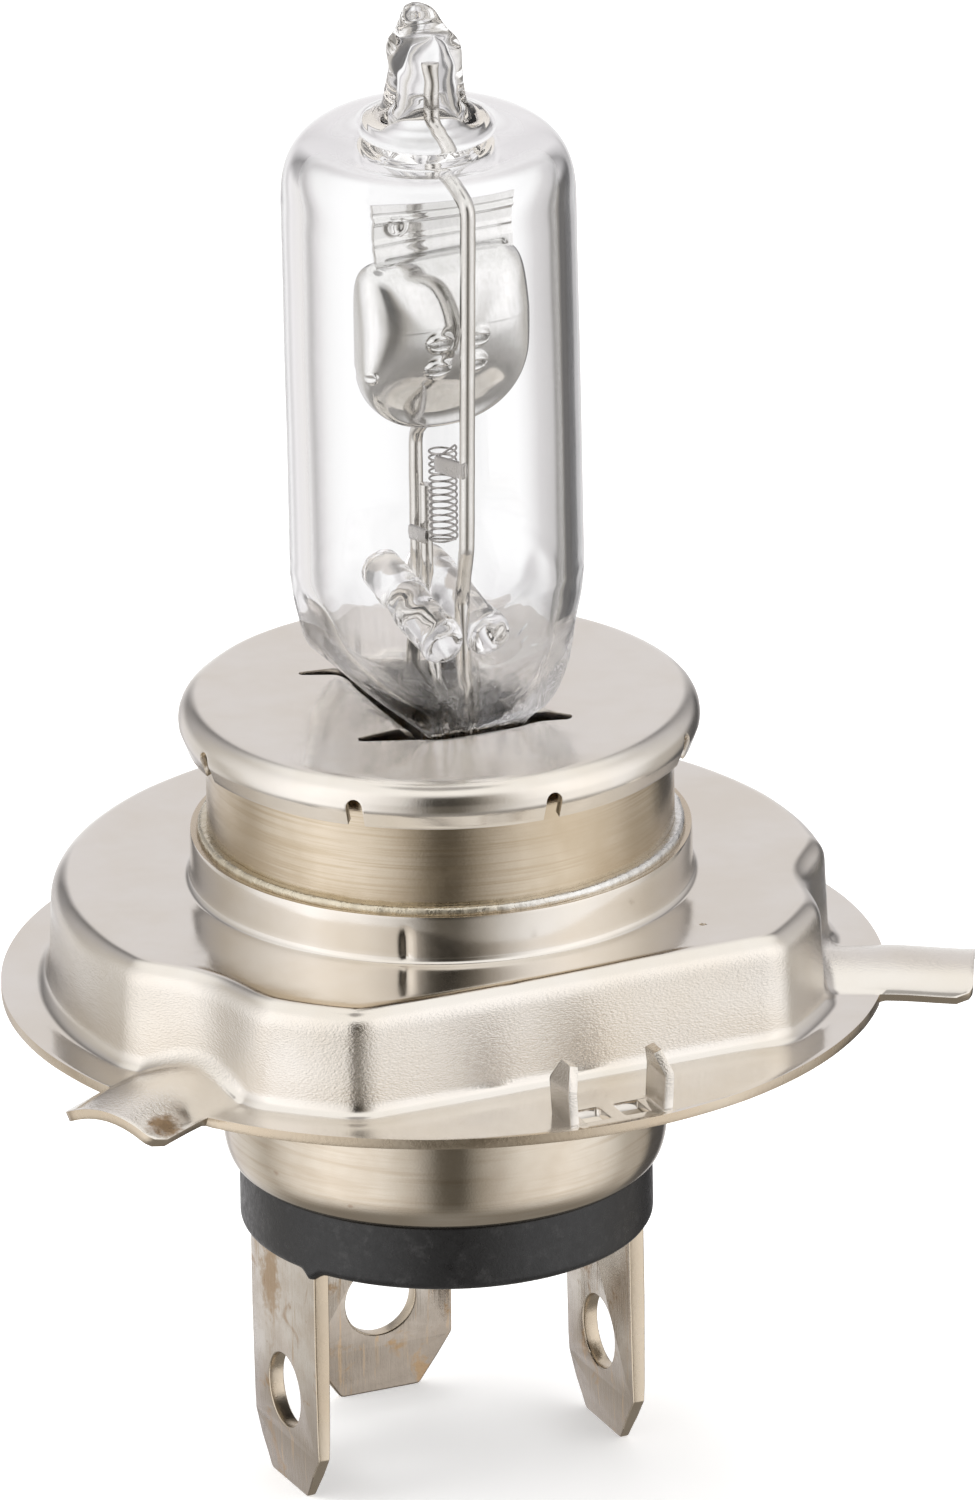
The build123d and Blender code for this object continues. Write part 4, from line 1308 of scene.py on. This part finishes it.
def make_shield():
    rings, sides = 110, 270
    verts = []
    for r in range(rings + 1):
        t = r / rings
        for k in range(sides):
            angle = math.tau * k / sides
            up = math.sin(angle)
            power = 2.3 + 0.9 * math.cos(angle) ** 4 - 0.55 * smoothstep(0.3, 0.95, up)
            turn = t * math.pi / 2
            spread = math.sin(turn) ** (2 / power)
            depth = SHIELD_DEPTH * max(0.0, math.cos(turn)) ** (2 / power)
            ox, oz = shield_outline(angle)
            x, z = ox * spread, oz * spread
            depth += shield_bead(x, SHIELD_CENTRE_Z + z) - shield_pad(spread, SHIELD_CENTRE_Z + z)
            nick = math.hypot((x + 4.1) / 0.35, (SHIELD_CENTRE_Z + z - 32.6) / 0.3)
            depth += 0.12 * math.exp(-(nick - 0.7) ** 2 / 0.06)
            depth += 0.05 * noise.noise(Vector((x * 0.35, z * 0.35, 2.0)))
            verts.append((x + SHIELD_SHIFT, SHIELD_RIM_Y - depth, SHIELD_CENTRE_Z + z))
    faces = grid_faces(rings + 1, sides, wrap_columns=True)
    bowl = (verts, faces)
    columns, rows = 96, 90
    tab = []
    for r in range(rows + 1):
        z = TAB_BOTTOM + (SHIELD_TAB_TOP - TAB_BOTTOM) * r / rows
        for k in range(columns + 1):
            x = SHIELD_TAB_HALF_WIDTH * (2 * k / columns - 1)
            weld = math.hypot(x + 2.45, z - 39.6)
            ring = 0.1 * math.exp(-((weld - 0.42) / 0.12) ** 2) - 0.08 * math.exp(-(weld / 0.25) ** 2)
            groove = -0.22 * smoothstep(-0.02, 0.1, pill(x - 0.05, z - SLOT_Z, 3.2, 0.24))
            edge = 0.05 * smoothstep(3.1, 3.6, abs(x)) * noise.noise(Vector((0, x, z * 1.5)))
            tab.append((x + edge, SHIELD_RIM_Y - 0.24 - tab_profile(z) - ring - groove, z))
    tab_faces = grid_faces(rows + 1, columns + 1)
    obj = make_object("dipped_beam_shield_body", *joined([bowl, (tab, tab_faces)]), outward=False)
    bm = bmesh.new()
    bm.from_mesh(obj.data)
    bmesh.ops.remove_doubles(bm, verts=bm.verts, dist=0.004 * MM)
    bmesh.ops.recalc_face_normals(bm, faces=bm.faces)
    for face in bm.faces:
        if face.normal.y > 0 and face.calc_center_median().z > (SHIELD_SHOULDER_Z + 0.1) * MM:
            face.normal_flip()
    bm.to_mesh(obj.data)
    bm.free()
    solid = obj.modifiers.new("sheet", "SOLIDIFY")
    solid.thickness = SHIELD_WALL * MM
    solid.offset = -1.0
    bevel(obj, 0.06, 2, 60)
    apply_modifiers(obj)
    return finish_piece(obj, (shield_look,), ("dipped_beam_shield",), 60)


# ---------------------------------------------------------------- wires, coils, clips

COMMON_POINTS = (
    (0, -3.1, 12.0), (-0.1, -3.1, 20.6), (-0.4, -4.4, 23.8), (-0.08, -4.4, 41.2), (-0.1, -0.3, 44.0),
    (-0.1, -0.3, 47.38),
)
DIPPED_POINTS = ((0, 3.1, 12.0), (0, 3.1, 16.0), (0, 2.4, 18.0), (0, 2.4, 27.4), (0, 0.3, 29.2))
MAIN_POINTS = ((0, 0, 12.0), (0, 0, 15.0), (0, 1.2, 17.6), (0, 1.2, 25.1))


def make_wire(node, points, radius):
    """A drawn lead wire with soft bends, slightly flattened where it was gripped."""
    path = dense(bent_path(points, 1.4, 10), 0.3)

    def grip(t):
        z = path[min(len(path) - 1, round(t * (len(path) - 1)))].z
        return 1 - 0.06 * math.exp(-((z - 22.2) / 0.5) ** 2) + 0.012 * math.sin(z * 2.3)

    verts, faces = sweep(path, circle(radius, 24), grip, (1, 0, 0))
    obj = make_object(node + "_body", verts, faces)
    bevel(obj, 0.06, 2, 60)
    apply_modifiers(obj)
    return finish_piece(obj, (wire_look,), (node,), 50)


def make_filament(node, x, y, bottom, turns, start_tail, end_tail):
    """A coil of tungsten wire with a straight tail at each end."""
    coil_radius, wire_radius, pitch = 0.66, 0.052, 0.35
    per_turn = 30
    path = [Vector(start_tail)]
    for k in range(turns * per_turn + 1):
        angle = math.tau * k / per_turn
        rise = pitch * k / per_turn
        uneven = 0.035 * noise.noise(Vector((rise * 0.9, x, bottom)))
        path.append(Vector((
            x + coil_radius * math.cos(angle), y + coil_radius * math.sin(angle), bottom + rise + uneven,
        )))
    path.append(Vector(end_tail))
    verts, faces = sweep(path, circle(wire_radius, 10))
    obj = make_object(node + "_coil", verts, faces)
    return finish_piece(obj, (filament_look,), (node,), 70)


def make_clip(node, across, lean):
    """A strip folded over a filament tail: two leaves and a rounded fold, set at a slant."""
    low, high = extent(node)
    centre, size = (low + high) / 2, high - low
    long_axis = "y" if size.y >= size.z else "z"
    length = max(size.y, size.z)
    height = min(size.y, size.z) * 0.98
    gap, sheet = size.x / 2 - 0.05, 0.09
    fold = height / 2
    spine = [
        (-gap * 0.55, -fold), (-gap * 0.9, 0.0), (-gap * 0.75, fold * 0.75), (0.0, fold),
        (gap * 0.75, fold * 0.75), (gap * 0.9, 0.0), (gap * 0.5, -fold),
    ]
    outer = [Vector(p) for p in spine]
    outline = [tuple(p) for p in outer] + [
        (p.x * 0.55, p.y * (1 - sheet / fold)) for p in reversed(outer)
    ]
    steps = 12
    verts = []
    for k in range(steps + 1):
        t = -0.5 + k / steps
        pinch = 1 - 0.18 * math.cos(math.pi * t) * across
        for a, b in outline:
            along = t * length
            if long_axis == "y":
                verts.append((centre.x + a * pinch, centre.y + along, centre.z + b - lean * along))
            else:
                verts.append((centre.x + a * pinch, centre.y + b, centre.z + along))
    count = len(outline)
    faces = capped_faces(steps + 1, count)
    obj = make_object(node + "_body", verts, faces)
    bevel(obj, 0.03, 2, 50)
    apply_modifiers(obj)
    return finish_piece(obj, (clip_look,), (node,), 50)


# ---------------------------------------------------------------- build every piece

make_base_ring()
make_cap_disc()
make_sleeve()
make_solder()
make_shell()
make_insulator()
for blade_args in BLADES:
    make_blade(*blade_args)
make_glass()
make_rod("left_bridge_rod", 1.0)
make_rod("right_bridge_rod", 6.0)
make_shield()
make_wire("common_lead_wire", COMMON_POINTS, 0.365)
make_wire("dipped_beam_lead_wire", DIPPED_POINTS, 0.35)
make_wire("main_beam_lead_wire", MAIN_POINTS, 0.32)
make_filament("main_beam_filament", 0.08, -0.7, 22.75, 14, (-0.57, 0.2, 22.7), (-0.58, -1.7, 27.6))
make_filament("dipped_beam_filament", 0.0, 0.0, 30.2, 13, (0.6, 0.25, 29.4), (0.6, 0.0, 37.6))
make_clip("main_beam_upper_clip", 0.6, 0.22)
make_clip("main_beam_lower_clip", 0.6, 0.2)
make_clip("dipped_beam_upper_clip", 0.6, 0.0)
make_clip("dipped_beam_lower_clip", 0.6, 0.0)

for node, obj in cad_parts.items():
    if obj.hide_render:
        continue
    look = outer_lead_look if node.endswith("outer_lead") else foil_look
    obj.data.materials.clear()
    obj.data.materials.append(look)


# ---------------------------------------------------------------- studio

CAMERA_AZIMUTH = math.radians(-23.8)
CAMERA_ELEVATION = math.radians(21.8)
CAMERA_ROLL = math.radians(-0.86)
CAMERA_DISTANCE = 1.5
CAMERA_SIDE = 0.0022
CAMERA_RISE = 0.01071
VIEW_HEIGHT = 0.072886
SENSOR = 36.0


def make_camera():
    """A long lens above the bulb and to the left of its front."""
    a, e, roll = CAMERA_AZIMUTH, CAMERA_ELEVATION, CAMERA_ROLL
    back = Vector((math.sin(a) * math.cos(e), -math.cos(a) * math.cos(e), math.sin(e)))
    level = Vector((math.cos(a), math.sin(a), 0))
    upright = back.cross(level)
    right = level * math.cos(roll) + upright * math.sin(roll)
    up = upright * math.cos(roll) - level * math.sin(roll)
    data = bpy.data.cameras.new("camera")
    data.sensor_width = SENSOR
    data.lens = SENSOR * CAMERA_DISTANCE / VIEW_HEIGHT
    data.clip_start, data.clip_end = 0.1, 20
    camera = bpy.data.objects.new("camera", data)
    scene.collection.objects.link(camera)
    camera.rotation_mode = "QUATERNION"
    place = right * CAMERA_SIDE + up * CAMERA_RISE + back * CAMERA_DISTANCE
    turned_to_bulb = Matrix((right, up, back)).transposed().to_4x4()
    camera.matrix_world = Matrix.Translation(place) @ turned_to_bulb
    scene.camera = camera


FLOOR_Z = cad_low.z
FLOOR_SIZE = 4.0


def make_floor():
    """A plain pale floor, slightly uneven in tone like a paper sweep."""
    mesh = bpy.data.meshes.new("floor")
    half = FLOOR_SIZE / 2
    corners = [(x * half, y * half, FLOOR_Z) for x, y in ((-1, -1), (1, -1), (1, 1), (-1, 1))]
    mesh.from_pydata(corners, [], [(0, 1, 2, 3)])
    floor = bpy.data.objects.new("floor", mesh)
    scene.collection.objects.link(floor)
    n = Look("floor_paper", Roughness=0.9, Emission_Color=(1.0, 1.0, 1.0), Emission_Strength=0.42)
    n.surface(Base_Color=n.mix(n.noise(0.02, 2), (0.93, 0.93, 0.93), (0.95, 0.95, 0.95)))
    mesh.materials.append(n.material)
    floor.visible_glossy = False
    floor.visible_transmission = False


def sky_direction(azimuth, elevation):
    """Unit vector of a direction given from the camera's own side of the room."""
    a = CAMERA_AZIMUTH + math.radians(azimuth)
    e = math.radians(elevation)
    return (math.sin(a) * math.cos(e), -math.cos(a) * math.cos(e), math.sin(e))


# Brightness round the room, as (direction in degrees to the right of the camera, brightness)
SKY_ABOVE = (
    (-180, 0.84), (-168, 0.84), (-158, 0.22), (-142, 0.50), (-120, 0.66), (-95, 0.95), (-60, 1.40),
    (-38, 1.25), (-16, 0.84), (-6, 0.06), (4, 0.03), (14, 0.14), (24, 0.50), (40, 1.15), (62, 1.38),
    (88, 1.15), (110, 0.80), (140, 0.62), (158, 0.28), (168, 0.84), (180, 0.84),
)
SKY_BELOW = (
    (-180, 1.0), (-171, 1.0), (-166, 0.84), (-162, 0.60), (-158, 0.62), (-152, 0.88), (-128, 0.84),
    (-108, 0.62), (-88, 1.06), (-62, 1.36), (-38, 1.20), (-18, 0.74), (-4, 0.14), (8, 0.12), (20, 0.50),
    (40, 1.02), (64, 1.22), (88, 1.06), (108, 0.60), (128, 0.50), (136, 0.11), (159, 0.10), (163, 0.50),
    (170, 0.66), (174, 1.0), (180, 1.0),
)
SKY_WARMTH = (0.93, 0.82, 0.66)
SKY_COOL = (1.0, 0.985, 0.975)
GLASS_GREY = (1.0, 0.975, 0.985)
WHITE = (1.0, 1.0, 1.0)
WHITE_FROM = 0.95
BACKDROP_FROM = 130
OVERHEAD = (1.15, 1.14, 1.12)
ZENITH = (0.45, 0.44, 0.43)
UNDERFOOT = (0.30, 0.285, 0.265)


def sky_ramp(n, turn, profile):
    """Brightness round the room as a colour ramp, warmer where it is darker and faces the camera."""
    ramp = n.new("ValToRGB", {0: turn})
    elements = ramp.color_ramp.elements
    while len(elements) < len(profile):
        elements.new(1.0)
    for element, (azimuth, value) in zip(elements, profile):
        element.position = (azimuth + 180) / 360
        tone = Vector(SKY_WARMTH).lerp(Vector(SKY_COOL), min(1.0, value / WHITE_FROM))
        if abs(azimuth) > BACKDROP_FROM:
            tone = Vector(GLASS_GREY if value < WHITE_FROM else WHITE)
        element.color = (*(tone * value), 1.0)
    return ramp.outputs[0]


def make_sky():
    """Soft studio surroundings: white backdrop, two tall soft boxes and the dark gap at the camera."""
    world = bpy.data.worlds.new("studio")
    scene.world = world
    world.use_nodes = True
    n = Nodes(world.node_tree, "Generated", 1.0)
    a = CAMERA_AZIMUTH
    rightward = n.vector("DOT_PRODUCT", n.place, (math.cos(a), math.sin(a), 0))
    toward_camera = n.vector("DOT_PRODUCT", n.place, (math.sin(a), -math.cos(a), 0))
    height = n.vector("DOT_PRODUCT", n.place, (0, 0, 1))
    around = n.math("ARCTAN2", rightward, toward_camera)
    turn = n.math("ADD", n.math("MULTIPLY", around, 1 / math.tau), 0.5)
    walls = n.mix(n.ramp(height, -0.12, 0.16), sky_ramp(n, turn, SKY_BELOW), sky_ramp(n, turn, SKY_ABOVE))
    colour = n.mix(n.ramp(height, 0.62, 0.88), walls, OVERHEAD)
    colour = n.mix(n.ramp(height, 0.97, 0.995), colour, ZENITH)
    colour = n.mix(n.ramp(height, -0.5, -0.8), colour, UNDERFOOT)
    n.feed(n.tree.nodes["Background"].inputs["Color"], colour)


def make_light(name, azimuth, elevation, distance, size, power):
    """A square soft box that faces the bulb."""
    data = bpy.data.lights.new(name, "AREA")
    data.shape = "SQUARE"
    data.size = size
    data.energy = power
    lamp = bpy.data.objects.new(name, data)
    scene.collection.objects.link(lamp)
    lamp.visible_glossy = False
    lamp.visible_transmission = False
    direction = Vector(sky_direction(azimuth, elevation))
    lamp.location = direction * distance
    lamp.rotation_mode = "QUATERNION"
    lamp.rotation_quaternion = direction.to_track_quat("Z", "Y")


make_camera()
make_floor()
make_sky()
make_light("top_soft_box", 200, 70, 0.8, 0.7, 4.0)
make_light("side_soft_box", -70, 40, 0.9, 0.4, 1.2)

scene.view_settings.view_transform = "Standard"
scene.cycles.use_denoising = True
scene.cycles.max_bounces = 32
scene.cycles.transmission_bounces = 32
scene.cycles.glossy_bounces = 12
scene.cycles.transparent_max_bounces = 24
scene.cycles.sample_clamp_indirect = 6.0
